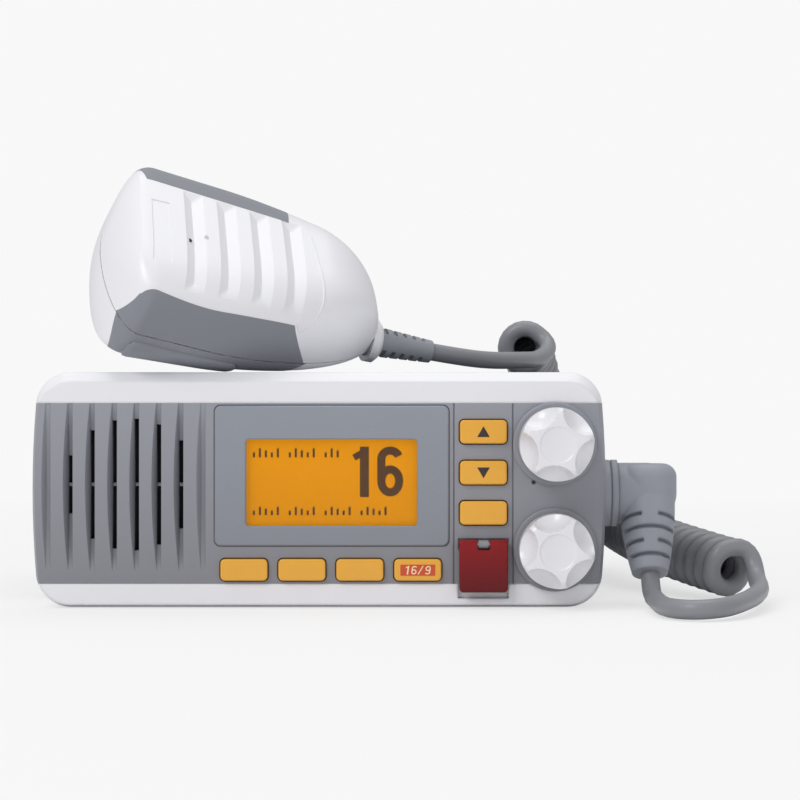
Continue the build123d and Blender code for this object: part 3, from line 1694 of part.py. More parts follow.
with BuildPart() as mic_boot:
    add(mic_boot_core)
    for index in range(mic_boot_slot_count):
        distance = mic_boot_inside + mic_boot_slot_first + mic_boot_slot_pitch * index
        share = distance / mic_boot_length
        radius = mic_boot_root + (mic_boot_tip - mic_boot_root) * share
        with BuildSketch(boot_root_plane.offset(distance)):
            Circle(2 * mic_boot_root)
            Circle(radius - mic_boot_slot_depth, mode=Mode.SUBTRACT)
            Rectangle(4 * mic_boot_root, mic_boot_root, mode=Mode.SUBTRACT)
        extrude(amount=mic_boot_slot_width, mode=Mode.SUBTRACT)
finish(mic_boot, "mic_boot")


# ================= Cord =================
def cord_radii(points):
    """The bend radius at each inner point, as large as its shorter run allows."""
    result = []
    for before, here, after in zip(points, points[1:], points[2:]):
        arriving = here - before
        leaving = after - here
        turn = math.radians(arriving.get_angle(leaving))
        result.append(run_share * min(arriving.length, leaving.length) / math.tan(turn / 2))
    return result


def cord_piece(name, places, radius):
    """One stretch of cord: a round tube along straight runs joined by arcs."""
    points = [Vector(*place) for place in places]
    radii = cord_radii(points)
    runs = [(after - before).length for before, after in zip(points, points[1:])]
    with BuildPart() as piece:
        with BuildLine() as path:
            FilletPolyline(*points, radius=radii)
        with BuildSketch(Plane(origin=points[0], z_dir=points[1] - points[0])):
            Circle(radius)
        sweep(path=path.wires()[0])
    finish(piece, name)
    length = path.wires()[0].length
    print(name, "points", [tuple(round(c, 2) for c in point) for point in points])
    print(name, "runs", [round(run, 1) for run in runs])
    print(name, "radii", [round(bend, 1) for bend in radii])
    print(name, "length", round(length, 1))


coil_points = [Vector(*point) for point in coil_route]
coil_start_dir = (coil_points[1] - coil_points[0]).normalized()
coil_end_dir = (coil_points[-1] - coil_points[-2]).normalized()
coil_start_right = coil_start_dir.cross(Vector(0, 0, 1)).normalized()
coil_end_right = coil_end_dir.cross(Vector(0, 0, 1)).normalized()
mic_lead_end = (
    coil_points[0]
    + coil_start_right * wire_right
    + coil_start_right.cross(coil_start_dir) * -wire_down
)
radio_lead_end = (
    coil_points[-1]
    - coil_end_right * wire_right
    + coil_end_right.cross(coil_end_dir) * -wire_down
)
mic_lead_points = [boot_tip, boot_tip + boot_direction * mic_lead_first_run]
mic_lead_points += [Vector(*point) for point in mic_lead_route]
mic_lead_points += [mic_lead_end - coil_start_dir * mic_lead_last_run, mic_lead_end]
radio_lead_points = [boot_end, boot_end + boot_down * radio_lead_first_run]
radio_lead_points += [Vector(*point) for point in radio_lead_route]
radio_lead_points += [radio_lead_end + coil_end_dir * radio_lead_last_run, radio_lead_end]

cord_piece("cord_lead_mic", mic_lead_points, cord_radius)
cord_piece("cord_coil", coil_points, coil_radius)
cord_piece("cord_lead_radio", radio_lead_points, cord_radius)
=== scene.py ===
import math
import bmesh
import bpy
from mathutils import Matrix, Vector


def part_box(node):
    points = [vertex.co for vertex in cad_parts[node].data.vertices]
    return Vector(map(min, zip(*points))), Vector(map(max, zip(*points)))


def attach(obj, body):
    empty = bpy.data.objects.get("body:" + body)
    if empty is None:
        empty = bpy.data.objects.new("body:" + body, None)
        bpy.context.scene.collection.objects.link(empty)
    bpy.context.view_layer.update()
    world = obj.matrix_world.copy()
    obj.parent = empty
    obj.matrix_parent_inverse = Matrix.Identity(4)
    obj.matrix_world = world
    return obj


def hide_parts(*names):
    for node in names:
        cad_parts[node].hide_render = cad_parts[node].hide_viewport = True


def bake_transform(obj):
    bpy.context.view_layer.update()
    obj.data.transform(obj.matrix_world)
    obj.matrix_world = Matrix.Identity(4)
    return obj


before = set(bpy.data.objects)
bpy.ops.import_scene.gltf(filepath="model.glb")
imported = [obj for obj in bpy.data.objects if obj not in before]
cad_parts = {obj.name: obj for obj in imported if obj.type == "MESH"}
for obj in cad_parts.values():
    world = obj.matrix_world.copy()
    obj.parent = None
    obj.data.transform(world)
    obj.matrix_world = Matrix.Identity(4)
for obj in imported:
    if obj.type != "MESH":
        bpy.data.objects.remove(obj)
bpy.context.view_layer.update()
MM = 0.001


def box_mm(node):
    """The lowest and highest corner of a CAD node, in millimetres."""
    return [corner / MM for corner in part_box(node)]


# ---------------------------------------------------------------- materials
GLOSS_SPREAD = 0.06      # how far the grain moves the roughness to either side
SMOOTHEST = 0.02
BUMP_STRENGTH = 0.5
COAT_ROUGHNESS = 0.12
PATCH_DETAIL = 4.0
GRAIN_DETAIL = 3.0
BEVEL_SAMPLES = 6


def shade(r, g, b):
    """A colour written as 0-255 values, as a linear one."""
    def one(c):
        c = c / 255.0
        return c / 12.92 if c <= 0.04045 else ((c + 0.055) / 1.055) ** 2.4
    return (one(r), one(g), one(b), 1.0)


def toned(colour, factor):
    """A linear colour made darker or lighter, at most white."""
    return tuple(min(c * factor, 1.0) for c in colour[:3]) + (1.0,)


def noise(tree, place, scale, detail):
    """The output of a noise texture, read at a place where one is given."""
    node = tree.nodes.new("ShaderNodeTexNoise")
    node.inputs["Scale"].default_value = scale
    node.inputs["Detail"].default_value = detail
    if place:
        tree.links.new(place, node.inputs["Vector"])
    return node.outputs["Fac"]


def mixed(tree, share, first, second):
    """A colour that runs from the first to the second, which may be an output."""
    node = tree.nodes.new("ShaderNodeMix")
    node.data_type = "RGBA"
    node.inputs["A"].default_value = first
    if isinstance(second, bpy.types.NodeSocket):
        tree.links.new(second, node.inputs["B"])
    else:
        node.inputs["B"].default_value = second
    tree.links.new(share, node.inputs["Factor"])
    return node.outputs["Result"]


def ranged(tree, value, start, end, low=0.0, high=1.0):
    """A value moved from one range to another."""
    node = tree.nodes.new("ShaderNodeMapRange")
    node.inputs["From Min"].default_value = start
    node.inputs["From Max"].default_value = end
    node.inputs["To Min"].default_value = low
    node.inputs["To Max"].default_value = high
    tree.links.new(value, node.inputs["Value"])
    return node.outputs["Result"]


def rough_normal(tree, grain, bump, edge):
    """A normal with the grain's height in mm, over edges that the light sees as rounded by edge mm."""
    height = tree.nodes.new("ShaderNodeBump")
    height.inputs["Strength"].default_value = BUMP_STRENGTH
    height.inputs["Distance"].default_value = bump * MM
    tree.links.new(grain, height.inputs["Height"])
    if edge:
        soft = tree.nodes.new("ShaderNodeBevel")
        soft.samples = BEVEL_SAMPLES
        soft.inputs["Radius"].default_value = edge * MM
        tree.links.new(soft.outputs["Normal"], height.inputs["Normal"])
    return height.outputs["Normal"]


def finish(name, colour, second=None, vary=0.03, patch=30.0, low=None, span=None, rough=0.4, grain=1400.0,
           bump=0.01, edge=0.0, streak=None, metal=0.0, coat=0.0, clear=0.0, sheen=0.0, shine=0.5, ior=1.5,
           painted_glow=0.0):
    """A painted, moulded, cast or woven finish: patches in the colour, grain in the gloss and the height.

    The patches run from colour to second. Where low is given, it is painted shade: the colour at span's lower
    height, and the patches take over up to span's upper height, both in metres. A glow, where given, is
    painted
    light: the colour shines by itself.
    """
    mat = bpy.data.materials.new(name)
    mat.use_nodes = True
    tree = mat.node_tree
    bsdf = tree.nodes["Principled BSDF"]
    whole = tree.nodes.new("ShaderNodeTexCoord").outputs["Object"]
    place = whole
    if streak:
        stretch = tree.nodes.new("ShaderNodeMapping")
        stretch.inputs["Scale"].default_value = streak
        tree.links.new(whole, stretch.inputs["Vector"])
        place = stretch.outputs["Vector"]
    grains = noise(tree, place, grain, GRAIN_DETAIL)
    patches = noise(tree, place, patch, PATCH_DETAIL)
    dark = toned(shade(*colour), 1 - vary)
    light = toned(shade(*(second or colour)), 1 + vary)
    tint = mixed(tree, patches, dark, light)
    # Painted shade: the colour darkens towards low at the bottom of span.
    if low:
        split = tree.nodes.new("ShaderNodeSeparateXYZ")
        tree.links.new(whole, split.inputs["Vector"])
        tint = mixed(tree, ranged(tree, split.outputs["Z"], *span), shade(*low), tint)
    smooth, dull = max(rough - GLOSS_SPREAD, SMOOTHEST), min(rough + GLOSS_SPREAD, 1.0)
    gloss = ranged(tree, grains, 0.0, 1.0, smooth, dull)
    tree.links.new(tint, bsdf.inputs["Base Color"])
    tree.links.new(gloss, bsdf.inputs["Roughness"])
    tree.links.new(rough_normal(tree, grains, bump, edge), bsdf.inputs["Normal"])
    bsdf.inputs["Metallic"].default_value = metal
    bsdf.inputs["Specular IOR Level"].default_value = shine
    bsdf.inputs["IOR"].default_value = ior
    bsdf.inputs["Coat Weight"].default_value = coat
    bsdf.inputs["Coat Roughness"].default_value = COAT_ROUGHNESS
    bsdf.inputs["Transmission Weight"].default_value = clear
    bsdf.inputs["Sheen Weight"].default_value = sheen
    # Painted light: the colour glows by itself, brighter than the lamps make it.
    if painted_glow:
        tree.links.new(tint, bsdf.inputs["Emission Color"])
        bsdf.inputs["Emission Strength"].default_value = painted_glow
    return mat


# The front of the set.
WHITE = finish("white_plastic", (236, 236, 240), vary=0.015, rough=0.32, bump=0.006, edge=1.2, coat=0.25)
# The panel and the knob collars: gray, darker towards the bottom as painted shade of the light from above.
PANEL = finish("panel_gray", (152, 154, 162), low=(134, 135, 141), span=(0.006, 0.06), rough=0.42, bump=0.012,
               edge=0.35)
# The display's frame: gray, darker towards the bottom as painted shade of the light from above.
FRAME = finish("frame_gray", (146, 151, 160), low=(134, 138, 146), span=(0.017, 0.058), rough=0.30,
               bump=0.004, edge=0.2, coat=0.3)
# Painted shade of the groove round the display's frame.
FRAME_GROOVE_SHADE = finish("groove_shade_gray", (70, 72, 78), rough=0.5)
LENS = finish("clear_lens", (252, 251, 246), vary=0.01, rough=0.10, bump=0.001, clear=1.0, ior=1.16)
# The display: amber, darker towards the bottom as painted shade, with a glow as painted light that brightens
# it behind the lens.
LCD = finish("lcd_amber", (218, 142, 6), patch=90.0, low=(206, 134, 8), span=(0.023, 0.048), rough=0.5,
             bump=0.002, shine=0.1, painted_glow=0.5)
SEGMENT = finish("lcd_segment", (98, 60, 26), vary=0.05, rough=0.45, bump=0.002)
KEY = finish("key_amber", (236, 172, 56), vary=0.04, patch=160.0, rough=0.36, bump=0.006, edge=0.5, coat=0.2)
KEY_INK = finish("key_ink", (52, 44, 40), rough=0.55, bump=0.004)
KEY_BAND = finish("key_band", (206, 80, 36), bump=0.004)
KEY_LIGHT = finish("key_light", (246, 220, 180), rough=0.45, bump=0.004)
RED_KEY = finish("distress_red", (176, 40, 38), rough=0.38, bump=0.006)
# The distress cover: red, darker towards the bottom as painted shade.
RED_COVER = finish("cover_red", (140, 14, 22), vary=0.08, patch=140.0, low=(96, 10, 18), span=(0.004, 0.019),
                   rough=0.30, bump=0.004, edge=0.5, coat=0.1, shine=0.25)
RUBBER = finish("keypad_rubber", (40, 40, 44), rough=0.7, bump=0.02)
KNOB = finish("knob_white", (233, 233, 237), vary=0.015, rough=0.30, bump=0.005, coat=0.3)

# The case, its inside and its back.
STEEL = finish("steel", (176, 178, 182), rough=0.28, bump=0.004, streak=(1, 1, 12), metal=1.0)
BLACK = finish("black_plastic", (34, 34, 38), rough=0.5, bump=0.02)
BOARD = finish("circuit_board", (38, 92, 58), second=(52, 112, 70), vary=0.12, patch=220.0)
CLOTH = finish("speaker_cloth", (30, 30, 34), vary=0.2, rough=0.95, grain=3200.0, bump=0.12, sheen=0.2)
PAPER = finish("cone_paper", (58, 56, 54), vary=0.12, rough=0.9, grain=2400.0, bump=0.05)
MAGNET = finish("magnet_metal", (96, 98, 104), rough=0.45, metal=0.8)
CASE = finish("case_metal", (96, 100, 108), vary=0.06, rough=0.55, grain=900.0, bump=0.05, edge=0.5)
ALUMINIUM = finish("aluminium", (120, 123, 130), rough=0.42, bump=0.02, edge=0.3, streak=(1, 6, 1), metal=0.6)
NICKEL = finish("nickel", (188, 184, 174), rough=0.24, bump=0.004, metal=1.0)
BRASS = finish("brass", (196, 160, 92), rough=0.3, bump=0.004, metal=1.0)
INSULATOR = finish("insulator", (226, 222, 210), rough=0.5)

# The microphone and the cord.
WHITE_MIC = finish("white_shell", (236, 236, 240), vary=0.015, rough=0.36, bump=0.006, coat=0.15)
GRIP = finish("grip_gray", (130, 133, 141), vary=0.05, rough=0.58, grain=1800.0, bump=0.03, sheen=0.1)
# Painted shade of the dimple's hollow, as a gray disc.
DIMPLE_SHADE = finish("dimple_shade_gray", (206, 202, 196), rough=0.5)
# Painted shade for the seam between the shells, the gap round the talk key and the hole.
GAP_SHADE = finish("shadow_gap", (38, 39, 43), rough=0.8, bump=0.02)
BOOT = finish("boot_gray", (152, 156, 164), vary=0.05, rough=0.48, bump=0.02, edge=1.2)
MIC_BOOT = finish("mic_boot_gray", (150, 154, 160), vary=0.07, rough=0.55, bump=0.03, edge=0.4)
CORD = finish("cord_gray", (136, 137, 142), vary=0.06, patch=60.0, rough=0.42, coat=0.1)

CAD_FINISH = {
    WHITE: "front_housing",
    PANEL: "face_panel knob_collars",
    FRAME: "display_frame",
    LCD: "lcd_glass",
    KEY: "key_1 key_2 key_3 key_4 key_up key_down key_enter",
    RED_KEY: "distress_key",
    RED_COVER: "distress_cover",
    RUBBER: "keypad_mat case_gasket",
    STEEL: "volume_shaft squelch_shaft hinge_pin case_screws bottom_screws mic_screws bracket_inserts",
    BLACK: "lcd_module volume_pot squelch_pot key_switches ptt_switch power_amplifier rear_glands "
           "mic_capsule",
    BOARD: "front_board main_board mic_board",
    CLOTH: "speaker_cloth",
    PAPER: "speaker_cone",
    MAGNET: "speaker_frame speaker_magnet rf_shield",
    CASE: "chassis bottom_cover",
    ALUMINIUM: "heat_sink",
    NICKEL: "antenna_socket",
    BRASS: "antenna_contact",
    INSULATOR: "antenna_insulator",
    GRIP: "mic_hang_stud",
    BOOT: "cord_boot cord_socket",
    MIC_BOOT: "mic_boot",
}
for mat, names in CAD_FINISH.items():
    for name in names.split():
        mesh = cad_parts[name].data
        mesh.materials.clear()
        mesh.materials.append(mat)


# ---------------------------------------------------------------- mesh helpers
WELD = 1e-7              # metres
LEVEL_STEP = 0.0008      # mm between the fronts of outlines that are one piece


def piece(name, points, faces, mat, body=None, angle=None):
    """A mesh of points in metres that rides on a body, smooth up to an angle where one is given."""
    mesh = bpy.data.meshes.new(name)
    mesh.from_pydata([tuple(p) for p in points], [], faces)
    mesh.update()
    mesh.validate()
    mesh.materials.append(mat)
    if angle:
        mesh.shade_smooth()
        mesh.set_sharp_from_angle(angle=math.radians(angle))
    obj = bpy.data.objects.new(name, mesh)
    bpy.context.scene.collection.objects.link(obj)
    if body:
        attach(obj, body)
    return obj


def welded(name, points, faces, mat, body, angle):
    """A smooth piece whose points are merged where they coincide and whose faces look outward."""
    obj = piece(name, points, faces, mat, body, angle)
    bm = bmesh.new()
    bm.from_mesh(obj.data)
    bmesh.ops.remove_doubles(bm, verts=bm.verts, dist=WELD)
    bmesh.ops.recalc_face_normals(bm, faces=bm.faces)
    bm.to_mesh(obj.data)
    bm.free()
    return obj


def tube_faces(rings, around):
    """Quads between rings of points, and one face over each end."""
    faces = []
    for i in range(rings - 1):
        for j in range(around):
            k = (j + 1) % around
            faces.append((i * around + j, i * around + k, (i + 1) * around + k, (i + 1) * around + j))
    faces.append(tuple(reversed(range(around))))
    faces.append(tuple((rings - 1) * around + j for j in range(around)))
    return faces


def skin_faces(rows, cols, walls):
    """Quads of an outer and an inner grid of points, with walls between their rims or none."""
    count = cols + 1
    inner = (rows + 1) * count
    faces = []
    for base in (0, inner):
        for i in range(rows):
            for j in range(cols):
                k = base + i * count + j
                faces.append((k, k + 1, k + count + 1, k + count))
    if walls:
        for i in range(rows):
            for k in (i * count, i * count + cols):
                faces.append((k, k + count, k + count + inner, k + inner))
        for j in range(cols):
            for k in (j, rows * count + j):
                faces.append((k, k + 1, k + 1 + inner, k + inner))
    return faces


def joined(name, outlines, front, back, mat, body):
    """Flat outlines in X, Z as one piece between two Y levels, all in mm.

    The front of each outline lies a little ahead of the one before, so that no two are in one plane.
    """
    points, faces = [], []
    for index, outline in enumerate(outlines):
        count, base = len(outline), len(points)
        area = sum(a[0] * b[1] - b[0] * a[1] for a, b in zip(outline, outline[1:] + outline[:1]))
        if area < 0:
            outline = outline[::-1]
        for y in (front - LEVEL_STEP * index, back):
            points += [(x * MM, y * MM, z * MM) for x, z in outline]
        faces.append(tuple(base + j for j in range(count)))
        faces.append(tuple(base + count + j for j in reversed(range(count))))
        for j in range(count):
            k = (j + 1) % count
            faces.append((base + j, base + j + count, base + k + count, base + k))
    return piece(name, points, faces, mat, body)


def slab(name, outline, front, back, mat, body):
    """One flat outline as a piece."""
    return joined(name, [outline], front, back, mat, body)


def ring_slab(name, outer, inner, front, back, mat, body):
    """A flat ring between two outlines of as many points each."""
    count = len(outer)
    points = []
    for y in (front, back):
        for line in (outer, inner):
            points += [(x * MM, y * MM, z * MM) for x, z in line]
    faces = []
    for j in range(count):
        k = (j + 1) % count
        o, i, ob, ib = [j + n * count for n in range(4)]
        o2, i2, ob2, ib2 = [k + n * count for n in range(4)]
        faces += [(o, o2, i2, i), (ob, ib, ib2, ob2), (o, ob, ob2, o2), (i, i2, ib2, ib)]
    return piece(name, points, faces, mat, body)


def arc(cx, cz, rx, rz, start, end, steps):
    """Points along an arc of an ellipse, from one angle in degrees to another."""
    turns = [math.radians(start + (end - start) * k / steps) for k in range(steps + 1)]
    return [(cx + rx * math.cos(a), cz + rz * math.sin(a)) for a in turns]


def rounded(left, right, low, high, radius, steps=6):
    """Points round a rectangle with round corners."""
    corners = ((right - radius, low + radius, -90), (right - radius, high - radius, 0),
               (left + radius, high - radius, 90), (left + radius, low + radius, 180))
    return [p for x, z, start in corners for p in arc(x, z, radius, radius, start, start + 90, steps)]


# ---------------------------------------------------------------- camera, floor and light
CAMERA_PLACE = (0.0233, -0.780, 0.0595)
CAMERA_LENS = 109.87     # mm
SENSOR = 36.0            # mm
NEAR_CLIP = 0.05

camera = bpy.data.objects.new("camera", bpy.data.cameras.new("camera"))
camera.data.lens = CAMERA_LENS
camera.data.sensor_width = SENSOR
camera.data.clip_start = NEAR_CLIP
camera.location = CAMERA_PLACE
camera.rotation_euler = (math.radians(90), 0, 0)
bpy.context.scene.collection.objects.link(camera)
bpy.context.scene.camera = camera
bpy.context.scene.view_settings.view_transform = "Standard"

BACKDROP = (0.94, 0.94, 0.94, 1.0)
ROOM_LIGHT = (0.50, 0.50, 0.51, 1.0)
FLOOR_DARK, FLOOR_LIGHT = (0.90, 0.90, 0.90, 1.0), (0.92, 0.92, 0.92, 1.0)
FLOOR_CLOUDS, FLOOR_DETAIL = 6.0, 2.0
FLOOR_ROUGH, FLOOR_SHINE = 0.9, 0.1
FLOOR_HALF, FLOOR_LEVEL = 9.0, -0.0003
FADE_START, FADE_END, FADE_LEAST = 0.20, 0.75, 0.68


def two_shaders(tree, share, first, second, output):
    """Shows the second shader in place of the first by a share."""
    both = tree.nodes.new("ShaderNodeMixShader")
    tree.links.new(share, both.inputs["Fac"])
    tree.links.new(first, both.inputs[1])
    tree.links.new(second, both.inputs[2])
    tree.links.new(both.outputs["Shader"], tree.nodes[output].inputs["Surface"])


def floor_material():
    """A pale floor that goes over into the backdrop away from the object, for the camera only."""
    mat = bpy.data.materials.new("floor_white")
    mat.use_nodes = True
    tree = mat.node_tree
    bsdf = tree.nodes["Principled BSDF"]
    bsdf.inputs["Roughness"].default_value = FLOOR_ROUGH
    bsdf.inputs["Specular IOR Level"].default_value = FLOOR_SHINE
    clouds = noise(tree, None, FLOOR_CLOUDS, FLOOR_DETAIL)
    tree.links.new(mixed(tree, clouds, FLOOR_DARK, FLOOR_LIGHT), bsdf.inputs["Base Color"])
    lit = tree.nodes.new("ShaderNodeEmission")
    lit.inputs["Color"].default_value = BACKDROP
    away = tree.nodes.new("ShaderNodeVectorMath")
    away.operation = "LENGTH"
    tree.links.new(tree.nodes.new("ShaderNodeTexCoord").outputs["Object"], away.inputs[0])
    fade = ranged(tree, away.outputs["Value"], FADE_START, FADE_END, FADE_LEAST)
    seen = tree.nodes.new("ShaderNodeMath")
    seen.operation = "MULTIPLY"
    tree.links.new(tree.nodes.new("ShaderNodeLightPath").outputs["Is Camera Ray"], seen.inputs[0])
    tree.links.new(fade, seen.inputs[1])
    two_shaders(tree, seen.outputs["Value"], bsdf.outputs["BSDF"], lit.outputs["Emission"], "Material Output")
    return mat


def studio():
    """A plain room: the backdrop's colour for the camera, and a soft even light for all else."""
    world = bpy.data.worlds.new("studio")
    world.use_nodes = True
    tree = world.node_tree
    back = tree.nodes["Background"]
    back.inputs["Color"].default_value = ROOM_LIGHT
    white = tree.nodes.new("ShaderNodeBackground")
    white.inputs["Color"].default_value = BACKDROP
    camera_ray = tree.nodes.new("ShaderNodeLightPath").outputs["Is Camera Ray"]
    two_shaders(tree, camera_ray, back.outputs["Background"], white.outputs["Background"], "World Output")
    return world


def lamp(name, place, size, power):
    """A square soft lamp turned to the middle of the set."""
    data = bpy.data.lights.new(name, "AREA")
    data.shape = "SQUARE"
    data.size = size
    data.energy = power
    obj = bpy.data.objects.new(name, data)
    obj.location = place
    obj.rotation_euler = (LAMP_TARGET - Vector(place)).to_track_quat("-Z", "Y").to_euler()
    bpy.context.scene.collection.objects.link(obj)


floor_corners = [(x * FLOOR_HALF, y * FLOOR_HALF, FLOOR_LEVEL)
                 for x, y in ((-1, -1), (1, -1), (1, 1), (-1, 1))]
floor = piece("floor", floor_corners, [(0, 1, 2, 3)], floor_material())
bpy.context.scene.world = studio()
LAMP_TARGET = Vector((0, 0, 0.05))
lamp("key_lamp", (-1.1, -1.2, 1.5), 1.0, 17)
lamp("fill_lamp", (1.3, -1.6, 0.6), 1.0, 2.5)
lamp("top_lamp", (0.1, 0.3, 1.7), 1.4, 9)


# ---------------------------------------------------------------- cord
# A curly cord: straight leads at both ends of a coil that is a helix about its own route. All in mm.
CORD_D = 5.4
CORD_AROUND = 14
HELIX_R = 6.3
PITCH = 5.46
HELIX_START = -20.0      # degrees
HELIX_STEPS = 22         # points to a turn
COIL_STEP = 0.5
LEAD_STEP = 1.6
ROUTE_DETAIL = 24

MIC_LEAD = [
    (32.38, -26.21, 74.46), (43.29, -21.61, 72.6), (52.5, -12.0, 71.9), (60.5, 0.5, 72.2),
    (66.8, 13.0, 72.6), (70.2, 25.0, 72.6), (70.7, 29.6, 74.75),
]
COIL = [
    (64.8, 30.0, 76.9), (65.5, 60.0, 77.1), (69.0, 88.0, 77.0), (75.0, 106.0, 58.0), (84.0, 104.0, 35.0),
    (92.5, 84.0, 23.0), (94.5, 50.0, 20.0), (97.5, 16.0, 17.5), (107.0, -18.0, 13.0), (122.5, -52.0, 9.3),
]
RADIO_LEAD = [
    (128.6, -52.5, 7.6), (129.4, -58.0, 5.4), (127.4, -75.0, 4.5), (122.8, -93.5, 4.1), (117.0, -109.0, 3.7),
    (111.0, -119.0, 3.2), (103.0, -121.6, 2.8), (96.6, -115.0, 2.75), (95.6, -100.5, 2.75),
    (96.2, -86.0, 2.75), (96.1, -77.5, 2.75), (95.9, -72.93, 5.59), (95.9, -71.18, 9.18),
]

# The bends between the leads and the coil: points given up behind and ahead of a bend, how far it swings
# out as a share of its span, and its points.
MIC_BEND = (13, 4, 1.2)
RADIO_BEND = (2, 4, 1.6)
BEND_POINTS = 9


def route(name, places):
    """Points along the smooth line through places in millimetres, close together."""
    curve = bpy.data.curves.new(name, "CURVE")
    curve.dimensions = "3D"
    curve.resolution_u = ROUTE_DETAIL
    spline = curve.splines.new("NURBS")
    spline.points.add(len(places) - 1)
    for point, (x, y, z) in zip(spline.points, places):
        point.co = (x * MM, y * MM, z * MM, 1.0)
    spline.order_u = 3
    spline.use_endpoint_u = True
    obj = bpy.data.objects.new(name, curve)
    bpy.context.scene.collection.objects.link(obj)
    bpy.context.view_layer.update()
    mesh = bpy.data.meshes.new_from_object(obj)
    points = [v.co.copy() for v in mesh.vertices]
    start = Vector(places[0]) * MM
    if (points[0] - start).length > (points[-1] - start).length:
        points.reverse()
    bpy.data.objects.remove(obj)
    bpy.data.curves.remove(curve)
    bpy.data.meshes.remove(mesh)
    return points


def line_length(points):
    """How long a line through points is."""
    return sum((b - a).length for a, b in zip(points, points[1:]))


def respaced(points, step):
    """The same line with its points about step mm apart."""
    total = line_length(points)
    count = max(int(total / (step * MM)), 2)
    result, gone, index = [points[0].copy()], 0.0, 0
    for k in range(1, count):
        want = total * k / count
        run = (points[index + 1] - points[index]).length
        while index < len(points) - 2 and gone + run < want:
            gone += run
            index += 1
            run = (points[index + 1] - points[index]).length
        result.append(points[index].lerp(points[index + 1], (want - gone) / max(run, 1e-9)))
    result.append(points[-1].copy())
    return result


def line_frames(points, across):
    """A side and an up at each point, carried along without twist."""
    result, side = [], across
    for i in range(len(points)):
        ahead = (points[min(i + 1, len(points) - 1)] - points[max(i - 1, 0)]).normalized()
        side = (side - ahead * side.dot(ahead)).normalized()
        result.append((side, side.cross(ahead)))
    return result


def coiled(line):
    """A helix of whole turns about a line."""
    frames = line_frames(line, Vector((1, 0, 0)))
    turns = round(line_length(line) / (PITCH * MM))
    count = turns * HELIX_STEPS
    result = []
    for k in range(count + 1):
        where = k / count * (len(line) - 1)
        i = min(int(where), len(line) - 2)
        side, up = frames[i]
        turn = math.radians(HELIX_START + 360.0 * turns * k / count)
        centre = line[i].lerp(line[i + 1], where - i)
        result.append(centre + (side * math.cos(turn) + up * math.sin(turn)) * HELIX_R * MM)
    return result


def bridged(first, second, back, ahead, pull):
    """Two lines joined by one smooth bend from near the end of one to near the start of the other."""
    a, b = first[-back], second[ahead]
    reach = (b - a).length * pull
    leave = (a - first[-back - 1]).normalized() * reach
    arrive = (second[ahead + 1] - b).normalized() * reach
    bend = []
    for k in range(1, BEND_POINTS + 1):
        t = k / (BEND_POINTS + 1)
        bend.append(a * (2 * t ** 3 - 3 * t ** 2 + 1) + leave * (t ** 3 - 2 * t ** 2 + t)
                    + b * (3 * t ** 2 - 2 * t ** 3) + arrive * (t ** 3 - t ** 2))
    return first[:len(first) - back + 1] + bend + second[ahead:]


def tube(name, line, across, radius, around, mat, body=None):
    """A round tube along a line, radius in mm."""
    turns = [2 * math.pi * j / around for j in range(around)]
    points = []
    for p, (side, up) in zip(line, line_frames(line, across)):
        points += [p + (side * math.cos(a) + up * math.sin(a)) * radius * MM for a in turns]
    return piece(name, points, tube_faces(len(line), around), mat, body, angle=60)


helix = coiled(respaced(route("coil_line", COIL), COIL_STEP))
lead_in = respaced(route("mic_lead_line", MIC_LEAD), LEAD_STEP)
lead_out = respaced(route("radio_lead_line", RADIO_LEAD), LEAD_STEP)
cord_path = bridged(bridged(lead_in, helix, *MIC_BEND), lead_out, *RADIO_BEND)
cord = tube("mic_cord", cord_path, Vector((0, 0, 1)), CORD_D / 2, CORD_AROUND, CORD)
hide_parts("cord_lead_mic", "cord_coil", "cord_lead_radio")
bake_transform(cord)


# ---------------------------------------------------------------- knobs
KNOB_AROUND = 180
RING_STEP = 0.15
INNER_RINGS = 66
EDGE_INSETS = (0.45, 0.30, 0.18, 0.09, 0.04, 0.0)      # the last rings of the front, in from the edge
BACK_EDGE = ((0.0, 0.6), (0.2, 0.15), (0.6, 0.0))      # rings at the back: in from the edge, before the back
RIM = 2.4                # radius of the soft front edge
SCOOPS = 5
SCOOP_R, SCOOP_OFF, SCOOP_SOFT = 6.8, 12.7, 0.55
DISH_R, DISH_DEPTH, DISH_STEP, DISH_STEP_RUN = 5.2, 0.7, 0.18, 0.3


def knob_depth(r, angle, first, radius):
    """How far a knob's front lies behind its crown: soft rim, round scoops from the first's angle, a dish."""
    rim = max(r - (radius - RIM), 0) / RIM
    depth = RIM * (1 - math.sqrt(max(1 - min(rim, 1) ** 2, 0)))
    across = min(abs((angle - first - 360 / SCOOPS * k + 180) % 360 - 180) for k in range(SCOOPS))
    gap_squared = r * r + SCOOP_OFF ** 2 - 2 * r * SCOOP_OFF * math.cos(math.radians(across))
    scoop = math.sqrt(max(SCOOP_R ** 2 - gap_squared, 0))
    if scoop > 0:
        near = max(SCOOP_SOFT - abs(depth - scoop), 0) / SCOOP_SOFT
        depth = max(depth, scoop) + near * near * SCOOP_SOFT / 4
    if r < DISH_R:
        depth += DISH_DEPTH * (1 - (r / DISH_R) ** 2)
        depth += DISH_STEP * min((DISH_R - r) / DISH_STEP_RUN, 1)
    return depth


